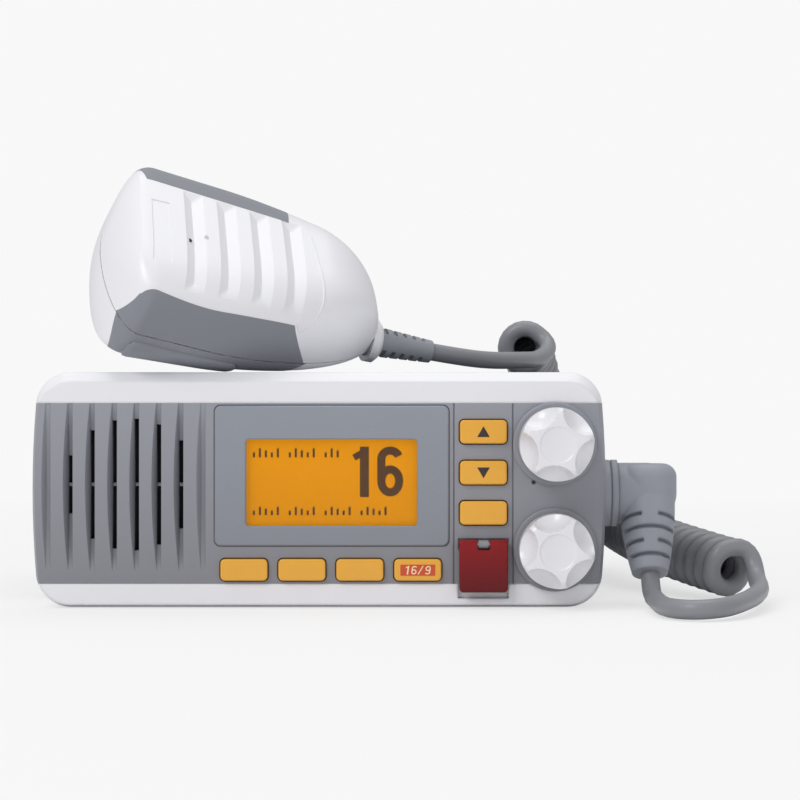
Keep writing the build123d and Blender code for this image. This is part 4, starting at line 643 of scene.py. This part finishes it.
def knob(name, first, node, body):
    """A white knob with a star front of scoops, soft edges and a round dish, in place of a CAD knob."""
    low, high = box_mm(node)
    x, z = (low.x + high.x) / 2, (low.z + high.z) / 2
    radius = (high.x - low.x) / 2
    turns = [360.0 * j / KNOB_AROUND for j in range(KNOB_AROUND)]
    front = [RING_STEP * k for k in range(1, INNER_RINGS + 1)] + [radius - inset for inset in EDGE_INSETS]
    rings = [(r, [low.y + knob_depth(r, turn, first, radius) for turn in turns]) for r in front]
    rings += [(radius - inset, [high.y - lead] * KNOB_AROUND) for inset, lead in BACK_EDGE]
    points = []
    for r, levels in rings:
        for turn, y in zip(turns, levels):
            a = math.radians(turn)
            points.append(((x + r * math.cos(a)) * MM, y * MM, (z + r * math.sin(a)) * MM))
    obj = piece(name, points, tube_faces(len(rings), KNOB_AROUND), KNOB, body, angle=55)
    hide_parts(node)
    return (x, z)


volume_middle = knob("volume_knob_shell", 49.0, "volume_knob", "volume_body")
knob("squelch_knob_shell", 28.0, "squelch_knob", "squelch_body")


# ---------------------------------------------------------------- display
INK_SUNK = 0.01          # how far drawn marks reach into what carries them
LENS_BEHIND, LENS_OFF_GLASS, LENS_CORNER = 0.02, 0.25, 0.8
NUMERAL_PROUD, TICK_PROUD = 0.12, 0.10
TICK_LEFT, TICK_STEP, TICK_WIDTH, TICK_GROUP = -19.0, 1.72, 0.62, 6
TICK_ROWS = ((15, 43.0, 2.6), (24, 26.4, 2.4))         # places, foot and tallest mark of each row
TICK_SHORT = 0.55        # the shortest mark, as a share of the tallest
ONE_PLACE, SIX_PLACE = (8.6, 31.6, 7.2, 14.5), (16.6, 31.8, 7.8, 14.3)     # left, foot, width and height

# Centre lines of plain numerals one unit wide and two high, each with the width of its stroke.
DIGITS = {
    "1": [([(0.62, 0.0), (0.62, 2.0)], 0.36), ([(0.62, 1.80), (0.20, 1.56)], 0.26)],
    "6": [(arc(0.5, 1.50, 0.33, 0.34, 20, 180, 12) + [(0.17, 1.0), (0.17, 0.62)], 0.30),
          (arc(0.5, 0.62, 0.33, 0.46, 180, 540, 28), 0.30)],
    "9": [(arc(0.5, 1.38, 0.33, 0.46, 0, 360, 28), 0.30),
          (arc(0.5, 0.5, 0.33, 0.34, -160, 0, 12) + [(0.83, 1.0), (0.83, 1.38)], 0.30)],
    "/": [([(0.1, 0.0), (0.75, 2.0)], 0.24)],
}


def stroke(line, width):
    """Quads, as outlines, that draw a thick line through points."""
    left, right = [], []
    for i, (x, z) in enumerate(line):
        a, b = line[max(i - 1, 0)], line[min(i + 1, len(line) - 1)]
        dx, dz = b[0] - a[0], b[1] - a[1]
        run = math.hypot(dx, dz)
        nx, nz = -dz / run * width / 2, dx / run * width / 2
        left.append((x + nx, z + nz))
        right.append((x - nx, z - nz))
    return [[left[i], left[i + 1], right[i + 1], right[i]] for i in range(len(line) - 1)]


def numerals(text, left, low, width, height, gap=0.0, slant=0.0, weight=1.0):
    """Outlines of numerals written from left at low, in mm."""
    result = []
    for index, digit in enumerate(text):
        start = left + index * (width + gap)
        for line, stroke_width in DIGITS[digit]:
            placed = [(start + x * width + slant * z / 2 * height, low + z / 2 * height) for x, z in line]
            result += stroke(placed, stroke_width * width * weight)
    return result


def ticks():
    """Outlines of two rows of short marks in groups, in three heights."""
    result = []
    for count, foot, tallest in TICK_ROWS:
        for k in range(count):
            if k % TICK_GROUP == TICK_GROUP - 1:
                continue
            x = TICK_LEFT + TICK_STEP * k
            top = foot + tallest * (TICK_SHORT + (1 - TICK_SHORT) * ((k * 5) % 3) / 2)
            result.append([(x, foot), (x + TICK_WIDTH, foot), (x + TICK_WIDTH, top), (x, top)])
    return result


glass_low, glass_high = box_mm("lcd_glass")
lens_front = box_mm("display_lens")[0].y
GLASS = glass_low.y
lens_outline = rounded(glass_low.x, glass_high.x, glass_low.z, glass_high.z, LENS_CORNER)
window_lens = slab("window_lens", lens_outline, lens_front + LENS_BEHIND, GLASS - LENS_OFF_GLASS, LENS,
                   "radio")
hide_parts("display_lens")
sixteen = numerals("1", *ONE_PLACE) + numerals("6", *SIX_PLACE)
joined("lcd_numerals", sixteen, GLASS - NUMERAL_PROUD, GLASS + INK_SUNK, SEGMENT, "radio")
joined("lcd_ticks", ticks(), GLASS - TICK_PROUD, GLASS + INK_SUNK, SEGMENT, "radio")


# ---------------------------------------------------------------- marks on the keys and the panel
MARK_PROUD, MARK_SUNK = 0.04, 0.1
KEY_FRONT = box_mm("key_4")[0].y
ARROW_HALF, ARROW_FOOT, ARROW_TIP = 1.8, 1.5, 1.6
BAND_HALF, BAND_DOWN, BAND_UP, BAND_CORNER = 5.0, 1.65, 1.55, 0.2
LABEL_LEFT, LABEL_DOWN, LABEL_WIDTH, LABEL_HEIGHT = 4.1, 1.3, 1.75, 2.5
LABEL_PROUD, LABEL_SUNK = 0.08, 0.02
DOT_R, DOT_PROUD, DOT_SUNK, DOT_STEPS = 0.62, 0.06, 0.2, 24
DOT_OFF = (-6.1, -11.0)                                # from the volume knob's middle
RING_OUT, RING_IN, RING_OUT_CORNER, RING_IN_CORNER = 0.25, 0.10, 1.9, 1.7
RING_PROUD, RING_SUNK = 0.03, 0.4


def key_middle(node):
    """The middle of a key's front, as (x, z)."""
    low, high = box_mm(node)
    return (low.x + high.x) / 2, (low.z + high.z) / 2


def arrow(name, node, up):
    """A solid arrow on a key, up (1) or down (-1)."""
    x, z = key_middle(node)
    foot = z - up * ARROW_FOOT
    outline = [(x - ARROW_HALF, foot), (x + ARROW_HALF, foot), (x, z + up * ARROW_TIP)]
    slab(name, outline, KEY_FRONT - MARK_PROUD, KEY_FRONT + MARK_SUNK, KEY_INK, node + "_body")


def key_4_marks():
    """A band on the fourth key with plain numbers on it."""
    x, z = key_middle("key_4")
    band = rounded(x - BAND_HALF, x + BAND_HALF, z - BAND_DOWN, z + BAND_UP, BAND_CORNER, 2)
    slab("key_4_band", band, KEY_FRONT - MARK_PROUD, KEY_FRONT + MARK_SUNK, KEY_BAND, "key_4_body")
    label = numerals("16/9", x - LABEL_LEFT, z - LABEL_DOWN, LABEL_WIDTH, LABEL_HEIGHT,
                     gap=0.22, slant=0.16, weight=0.66)
    joined("key_4_numerals", label, KEY_FRONT - LABEL_PROUD, KEY_FRONT + LABEL_SUNK, KEY_LIGHT, "key_4_body")


def power_dot(middle):
    """A dot below the volume knob."""
    outline = arc(middle[0] + DOT_OFF[0], middle[1] + DOT_OFF[1], DOT_R, DOT_R, 0, 360, DOT_STEPS)[:-1]
    slab("power_dot", outline, PANEL_Y - DOT_PROUD, PANEL_Y + DOT_SUNK, KEY_INK, "radio")


def frame_groove_shade():
    """The dark line round the display's frame: painted shade in the groove round it."""
    low, high = box_mm("display_frame")
    outer = rounded(low.x - RING_OUT, high.x + RING_OUT, low.z - RING_OUT, high.z + RING_OUT, RING_OUT_CORNER)
    inner = rounded(low.x + RING_IN, high.x - RING_IN, low.z + RING_IN, high.z - RING_IN, RING_IN_CORNER)
    ring_slab("frame_groove_shade", outer, inner, PANEL_Y - RING_PROUD, PANEL_Y + RING_SUNK, FRAME_GROOVE_SHADE, "radio")


PANEL_Y = box_mm("front_housing")[0].y
arrow("up_arrow", "key_up", 1)
arrow("down_arrow", "key_down", -1)
key_4_marks()
power_dot(volume_middle)
frame_groove_shade()


# ---------------------------------------------------------------- microphone: shape
# Places are s from its top end, v across it and w out of the seam, in mm; direction is 1 for its face
# and -1 for its back.
MIC_CENTRE = Vector((-25.1, -50.0, 90.1))
MIC_LEAN, MIC_ROLL, MIC_YAW = -47.7, 16.3, 22.3
LENGTH = 88.5
WIDTH, WIDTH_LOSS = 68.0, 17.0
FACE, FACE_GAIN = 18.0, 9.0
BACK, BACK_LOSS = 20.0, 16.0
TOP_ROUND, END_ROUND = 11.3, 56.0
FACE_TOP_SHARE, BACK_TOP_SHARE, END_SHARE = 0.55, 0.60, 0.48
OUTLINE_POWER, FACE_POWER, BACK_POWER = 1.85, 4.0, 2.5
SEAM = 0.13              # half the gap between the shells
SKIN = 0.09              # how far the white shell lies below the CAD's
THINNEST = 1e-6
WIDEST_RELIEF = 0.88     # of the half width
MIDDLE = -6.3            # the grooves' middle
GROOVES, GROOVE_FIRST, GROOVE_STEP, GROOVE_DEPTH, GROOVE_END = 4, 21.9, 10.14, 1.5, 3.5
GROOVE_BEFORE, GROOVE_LOW, GROOVE_AFTER = 3.4, 0.5, 2.6
GROOVE_REACH, GROOVE_LOSS = 21.6, 0.9
PLATE_START, PLATE_END, PLATE_LOW, PLATE_HIGH, PLATE_DEPTH, PLATE_EDGE = 8.6, 14.1, -20.5, 7.3, 0.3, 0.1

turned = (Matrix.Rotation(math.radians(MIC_YAW), 3, "Z") @ Matrix.Rotation(math.radians(MIC_ROLL), 3, "Y")
          @ Matrix.Rotation(math.radians(MIC_LEAN), 3, "X"))
MIC_U, MIC_V, MIC_W = turned @ Vector((1, 0, 0)), turned @ Vector((0, 0, 1)), turned @ Vector((0, -1, 0))


def at(s, v, w):
    """A place on the microphone as a point in metres."""
    return (MIC_CENTRE + MIC_U * (s - LENGTH / 2) + MIC_V * v + MIC_W * w) * MM


def end_share(s, top, end):
    """How full the outline is, rounded off over top and end."""
    t = min(max((top - s) / top, 0), 1)
    e = min(max((s - (LENGTH - end)) / end, 0), 1)
    power = OUTLINE_POWER
    return max(1 - t ** power, 0) ** (1 / power) * max(1 - e ** power, 0) ** (1 / power)


def half_width(s):
    """Half the microphone's width."""
    return (WIDTH - WIDTH_LOSS * s / LENGTH) / 2 * end_share(s, TOP_ROUND, END_ROUND) - SKIN


def section(s, direction):
    """Half width, height and power of a cross-section's half."""
    end = END_ROUND * END_SHARE
    if direction > 0:
        full = (FACE + FACE_GAIN * s / LENGTH) * end_share(s, TOP_ROUND * FACE_TOP_SHARE, end) - SKIN
        return half_width(s), full, FACE_POWER
    full = (BACK - BACK_LOSS * s / LENGTH) * end_share(s, TOP_ROUND * BACK_TOP_SHARE, end) - SKIN
    return half_width(s), full, BACK_POWER


def face_at(s, v):
    """The plain height of the face above v."""
    width, full, power = section(s, 1)
    return full * max(1 - min(abs(v) / max(width, THINNEST), 1) ** power, 0) ** (1 / power)


def around_section(s, direction, turn):
    """A place on a cross-section at an angle from the +v side, as (v, w)."""
    width, full, power = section(s, direction)
    c, d = math.cos(turn), math.sin(turn)
    reach = 1 / (abs(c) ** power + abs(d) ** power) ** (1 / power)
    return width * reach * c, full * reach * d


def turn_at(s, v, direction):
    """The angle of the cross-section's place above v."""
    width, _, power = section(s, direction)
    share = v / max(width, THINNEST)
    return math.atan2(max(1 - abs(share) ** power, 0) ** (1 / power), share)


def groove_reach(s):
    """Half the length of a groove, shorter towards the cord."""
    return GROOVE_REACH - GROOVE_LOSS * (s - GROOVE_FIRST) / GROOVE_STEP


def face_relief(s, v, w):
    """The face's height with its grooves and the nameplate's recess."""
    for k in range(GROOVES):
        low = GROOVE_FIRST + GROOVE_STEP * k
        if low - GROOVE_BEFORE < s < low + GROOVE_AFTER:
            down = (s - low + GROOVE_BEFORE) / (GROOVE_BEFORE - GROOVE_LOW)
            up = (low + GROOVE_AFTER - s) / (GROOVE_AFTER + GROOVE_LOW)
            end = (groove_reach(s) - abs(v - MIDDLE)) / GROOVE_END
            w -= GROOVE_DEPTH * max(min(down, up, end, 1), 0)
    if PLATE_START <= s <= PLATE_END and PLATE_LOW <= v <= PLATE_HIGH:
        w -= PLATE_DEPTH
    return w


# ---------------------------------------------------------------- microphone: shells and grips
FIRST_STATION, LAST_STATION, STATION_GAP = 0.02, LENGTH - 0.02, 0.2
TOP_START, TOP_END, TOP_STEP, TOP_GROWTH = 0.25, 7.5, 0.35, 0.08
EVEN_START, EVEN_END, EVEN_STEP = 8.6, 70.0, 0.62
END_STATIONS, END_POWER = 25, 1.8
SIDE_STEPS, FAR_SIDE_STEPS, BACK_STEPS = 36, 28, 110
FACE_STEPS = (5, 5, 1, 36, 1, 4, 5)
GRIP_ROWS, GRIP_COLS = 110, 34
GRIP_PROUD, GRIP_RIM, GRIP_UNDER = 0.10, 0.06, -0.6
WIDEST_GRIP = 0.97       # of the half width

# Where each grip starts and ends at the seam, how far both are drawn in at its edge line, and that line's
# place over the shell.
LOWER_START, LOWER_START_IN, LOWER_END, LOWER_END_IN = 4.4, 2.6, 64.0, 9.6
LOWER_EDGE, LOWER_BOW, LOWER_BOW_AT = 30.0, 0.004, 19.0
UPPER_START, UPPER_START_IN, UPPER_END, UPPER_END_IN = 4.6, 3.0, 55.5, 4.3
UPPER_EDGE, UPPER_SLANT = 18.6, 0.12
BACK_START, BACK_START_IN, BACK_END, BACK_END_IN = 4.6, 3.8, 65.0, 6.0
BACK_EDGE_LINE = 20.5


def stations():
    """Places along the microphone: closer at its ends, and on every step of the relief."""
    marks = [FIRST_STATION]
    s = TOP_START
    while s < TOP_END:
        marks.append(s)
        s += TOP_STEP + s * TOP_GROWTH
    s = EVEN_START
    while s < EVEN_END:
        marks.append(s)
        s += EVEN_STEP
    for k in range(1, END_STATIONS + 1):
        marks.append(EVEN_END + (LAST_STATION - EVEN_END) * (1 - (1 - k / END_STATIONS) ** END_POWER))
    steps = [GROOVE_FIRST + GROOVE_STEP * k + d
             for k in range(GROOVES) for d in (-GROOVE_BEFORE, -GROOVE_LOW, GROOVE_AFTER)]
    steps += [edge + d for edge in (PLATE_START, PLATE_END) for d in (-PLATE_EDGE, PLATE_EDGE)]
    marks = [m for m in marks if min(abs(m - step) for step in steps) > STATION_GAP]
    return sorted(marks + steps)


def across_face(s):
    """Places over the face, (v, w), with lines along the ends of the grooves and of the nameplate."""
    widest = WIDEST_RELIEF * half_width(s)
    high = min(MIDDLE + groove_reach(s), widest)
    low = max(MIDDLE - groove_reach(s), -widest)
    tenth = (high - low) / 10
    high_in, low_in = high - min(GROOVE_END, tenth), low + min(GROOVE_END, tenth)
    plate_high = min(PLATE_HIGH, high_in - tenth / 2)
    plate_low = max(PLATE_LOW, low_in + tenth / 2)
    lines = (high, high_in, plate_high + PLATE_EDGE, plate_high - PLATE_EDGE, plate_low + PLATE_EDGE,
             plate_low - PLATE_EDGE, low_in, low)
    start, stop = turn_at(s, high, 1), turn_at(s, low, 1)
    result = [around_section(s, 1, start * k / SIDE_STEPS) for k in range(SIDE_STEPS + 1)]
    for a, b, steps in zip(lines, lines[1:], FACE_STEPS):
        places = [a + (b - a) * k / steps for k in range(1, steps + 1)]
        result += [(v, face_at(s, v)) for v in places]
    return result + [around_section(s, 1, stop + (math.pi - stop) * k / FAR_SIDE_STEPS)
                     for k in range(1, FAR_SIDE_STEPS + 1)]


def half_shell(name, direction, node):
    """The front or back half of the white shell: its outside, closed flat at the seam."""
    points = []
    for s in STATIONS:
        if direction > 0:
            places = [(v, face_relief(s, v, w)) for v, w in across_face(s)]
        else:
            places = [around_section(s, -1, math.pi * k / BACK_STEPS) for k in range(BACK_STEPS + 1)]
        points += [at(s, v, direction * (w + SEAM)) for v, w in places]
    rows, count = len(STATIONS), len(places)
    faces = []
    for i in range(rows - 1):
        first = i * count
        for k in range(first, first + count - 1):
            faces.append((k, k + 1, k + count + 1, k + count))
        last = first + count - 1
        faces.append((first, first + count, last + count, last))
    for i in (0, rows - 1):
        faces.append(tuple(i * count + j for j in range(count)))
    obj = welded(name, points, faces, WHITE_MIC, "microphone", angle=17)
    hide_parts(node)


def side_place(s, share, edge, side, direction):
    """A place on a side of the microphone: share runs from the seam to the edge line."""
    edge = min(edge, half_width(s) * WIDEST_GRIP)
    v, w = around_section(s, direction, turn_at(s, edge, direction) * share)
    return s, side * v, direction * w, direction


def lower_front(a, b):
    """The lower grip on the face; its edge line is a shallow bow."""
    start, end = LOWER_START + LOWER_START_IN * b, LOWER_END - LOWER_END_IN * b
    s = start + (end - start) * a
    return side_place(s, b, LOWER_EDGE - LOWER_BOW * (s - LOWER_BOW_AT) ** 2, -1, 1)


def upper_front(a, b):
    """The upper grip on the face; its edge line is straight."""
    start, end = UPPER_START + UPPER_START_IN * b ** 2, UPPER_END - UPPER_END_IN * b
    s = start + (end - start) * a
    return side_place(s, b, UPPER_EDGE - UPPER_SLANT * s, 1, 1)


def back_grip(side):
    """A grip on one side of the back."""
    def place(a, b):
        start, end = BACK_START + BACK_START_IN * b ** 1.5, BACK_END - BACK_END_IN * b
        return side_place(start + (end - start) * a, b, BACK_EDGE_LINE, side, -1)
    return place


def grip(name, place):
    """A closed skin over the part of the shell that place(a, b) gives for shares from 0 to 1."""
    points = []
    for inner in (False, True):
        for i in range(GRIP_ROWS + 1):
            for j in range(GRIP_COLS + 1):
                a = min(max(i - 1, 0) / (GRIP_ROWS - 2), 1)
                b = min(max(j - 1, 0) / (GRIP_COLS - 2), 1)
                s, v, w, direction = place(a, b)
                width, full, power = section(s, direction)
                across = math.copysign((abs(v) / width) ** (power - 1) / width, v)
                out = Vector((0, across, direction * (abs(w) / full) ** (power - 1) / full)).normalized()
                rim = min(i, GRIP_ROWS - i, j, GRIP_COLS - j)
                lift = GRIP_UNDER if inner or rim == 0 else GRIP_RIM if rim == 1 else GRIP_PROUD
                points.append(at(s, v + out.y * lift, w + direction * SEAM + out.z * lift))
    return welded(name, points, skin_faces(GRIP_ROWS, GRIP_COLS, walls=False), GRIP, "microphone", angle=40)


STATIONS = stations()
half_shell("mic_face_shell", 1, "mic_front_shell")
half_shell("mic_back_shell", -1, "mic_rear_shell")
upper = grip("mic_grip_upper", upper_front)
lower = grip("mic_grip_lower", lower_front)
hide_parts("mic_front_grips")
rear_upper = grip("mic_grip_back_upper", back_grip(1))
rear_lower = grip("mic_grip_back_lower", back_grip(-1))
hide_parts("mic_rear_grips")


# ---------------------------------------------------------------- microphone: trim and talk key
CREASE_S, CREASE_SLANT, CREASE_HIGH, CREASE_STEP, CREASE_POINTS = 57.6, 0.12, 8.0, 0.9, 31
CREASE_TURN = (55.6, -19.4, 5.3, 5.3, -6, -96, 15)     # middle, radii, angles and steps of its round end
CREASE_R, CREASE_AROUND = 0.28, 10
SEAM_INSET, SEAM_THINNEST, SEAM_OVER = 0.35, 0.01, 0.1
PTT_ROWS, PTT_COLS = 40, 14
PTT_START, PTT_RUN = 10.0, 34.0
PTT_LOW, PTT_LOW_RISE, PTT_HIGH, PTT_CORNER = -12.0, 4.5, -2.5, 2.6
PTT_PROUD, PTT_UNDER, PTT_RIM = 1.2, -1.2, (0.8, 0.3, 0.1, 0.0)
GAP_GROW, GAP_PROUD, GAP_UNDER, GAP_RIM = 0.45, 0.17, -0.8, (0.35, 0.0, 0.7, 0.7)
DEEPEST = 0.999          # of the back's depth
HOLE, HOLE_R, HOLE_PROUD = (19.6, -8.0), 0.85, 0.05
DIMPLE_PLACE, DIMPLE_R, DIMPLE_PROUD = (24.9, -5.5), 0.95, 0.04
DISC_STEPS, DISC_SHOULDER, DISC_TOP = 24, 0.4, 0.85
LIP_PLACE, LIP_AXIS, LIP_AHEAD = Vector((14.2, -33.8, 77.7)), Vector((0.908, 0.383, -0.161)), 0.4
LIP_R, LIP_TOP_R, LIP_PROUD, LIP_STEPS = 6.6, 5.6, 1.7, 48


def crease():
    """A fine raised line over the face, straight and then round."""
    places = []
    for k in range(CREASE_POINTS):
        places.append((CREASE_S + CREASE_SLANT * CREASE_STEP * k, CREASE_HIGH - CREASE_STEP * k))
    places += arc(*CREASE_TURN)
    line = [at(s, v, face_at(s, v) + SEAM) for s, v in places]
    tube("mic_crease", line, MIC_W, CREASE_R, CREASE_AROUND, WHITE_MIC, "microphone")


def seam():
    """The dark line between the shells, a little inside both: painted shade in the gap."""
    over = SEAM + SEAM_OVER
    points = []
    for s in STATIONS:
        width = max(half_width(s) - SEAM_INSET, SEAM_THINNEST)
        points += [at(s, v, w) for v, w in ((width, over), (width, -over), (-width, -over), (-width, over))]
    piece("mic_seam_shade", points, tube_faces(len(STATIONS), 4), GAP_SHADE, "microphone")


def talk_key(name, grow, proud, under, rim_drop, mat, body):
    """The push-to-talk key, or the dark gap round it, on the lower side of the back half; the gap is painted
    shade.

    It stands proud of the shell, less rim_drop on the rows next to its edge, and reaches under it.
    """
    corner, run = PTT_CORNER + grow, PTT_RUN + 2 * grow
    points = []
    for inner in (False, True):
        for i in range(PTT_ROWS + 1):
            a = i / PTT_ROWS
            s = PTT_START - grow + run * a
            width, full, power = section(s, -1)
            along = min(a, 1 - a) * run
            cut = corner - math.sqrt(max(corner ** 2 - (corner - along) ** 2, 0)) if along < corner else 0.0
            high = PTT_HIGH + grow - cut
            low = PTT_LOW + PTT_LOW_RISE * a - grow + cut
            for j in range(PTT_COLS + 1):
                w = high + (low - high) * j / PTT_COLS
                v = -width * max(1 - (min(-w, full * DEEPEST) / full) ** power, 0) ** (1 / power)
                rim = min(i, PTT_ROWS - i, j, PTT_COLS - j)
                lift = under if inner else proud - rim_drop[min(rim, 3)]
                out = Vector((0, v / width ** 2, w / full ** 2)).normalized()
                points.append(at(s, v + out.y * lift, w + out.z * lift))
    return welded(name, points, skin_faces(PTT_ROWS, PTT_COLS, walls=True), mat, body, angle=50)


def disc(name, place, normal, radius, top, proud, mat, steps=DISC_STEPS):
    """A short round piece that stands on a place of the microphone in metres."""
    normal = normal.normalized()
    side = normal.orthogonal().normalized()
    up = normal.cross(side)
    points = []
    for along, r in ((-proud, radius), (proud * DISC_SHOULDER, radius), (proud, top)):
        for j in range(steps):
            a = 2 * math.pi * j / steps
            points.append(place + (normal * along + (side * math.cos(a) + up * math.sin(a)) * r) * MM)
    welded(name, points, tube_faces(3, steps), mat, "microphone", angle=40)


def spot(name, place, radius, proud, mat):
    """A small disc in the face's relief."""
    s, v = place
    w = face_relief(s, v, face_at(s, v)) + SEAM
    disc(name, at(s, v, w), MIC_W, radius, radius * DISC_TOP, proud, mat)


crease()
seam()
ptt = talk_key("ptt_key", 0.0, PTT_PROUD, PTT_UNDER, PTT_RIM, GRIP, "ptt_body")
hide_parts("ptt_button")
# The gap round the key is a dark skin of painted shade.
talk_key("ptt_gap_shade", GAP_GROW, GAP_PROUD, GAP_UNDER, GAP_RIM, GAP_SHADE, "microphone")
# The hole is a dark disc: painted shade inside it.
spot("mic_hole_shade", HOLE, HOLE_R, HOLE_PROUD, GAP_SHADE)
# The dimple is a gray disc: painted shade of its hollow.
spot("mic_dimple_shade", DIMPLE_PLACE, DIMPLE_R, DIMPLE_PROUD, DIMPLE_SHADE)
lip_place = (LIP_PLACE + LIP_AXIS.normalized() * LIP_AHEAD) * MM
disc("mic_lip", lip_place, LIP_AXIS, LIP_R, LIP_TOP_R, LIP_PROUD, WHITE_MIC, LIP_STEPS)
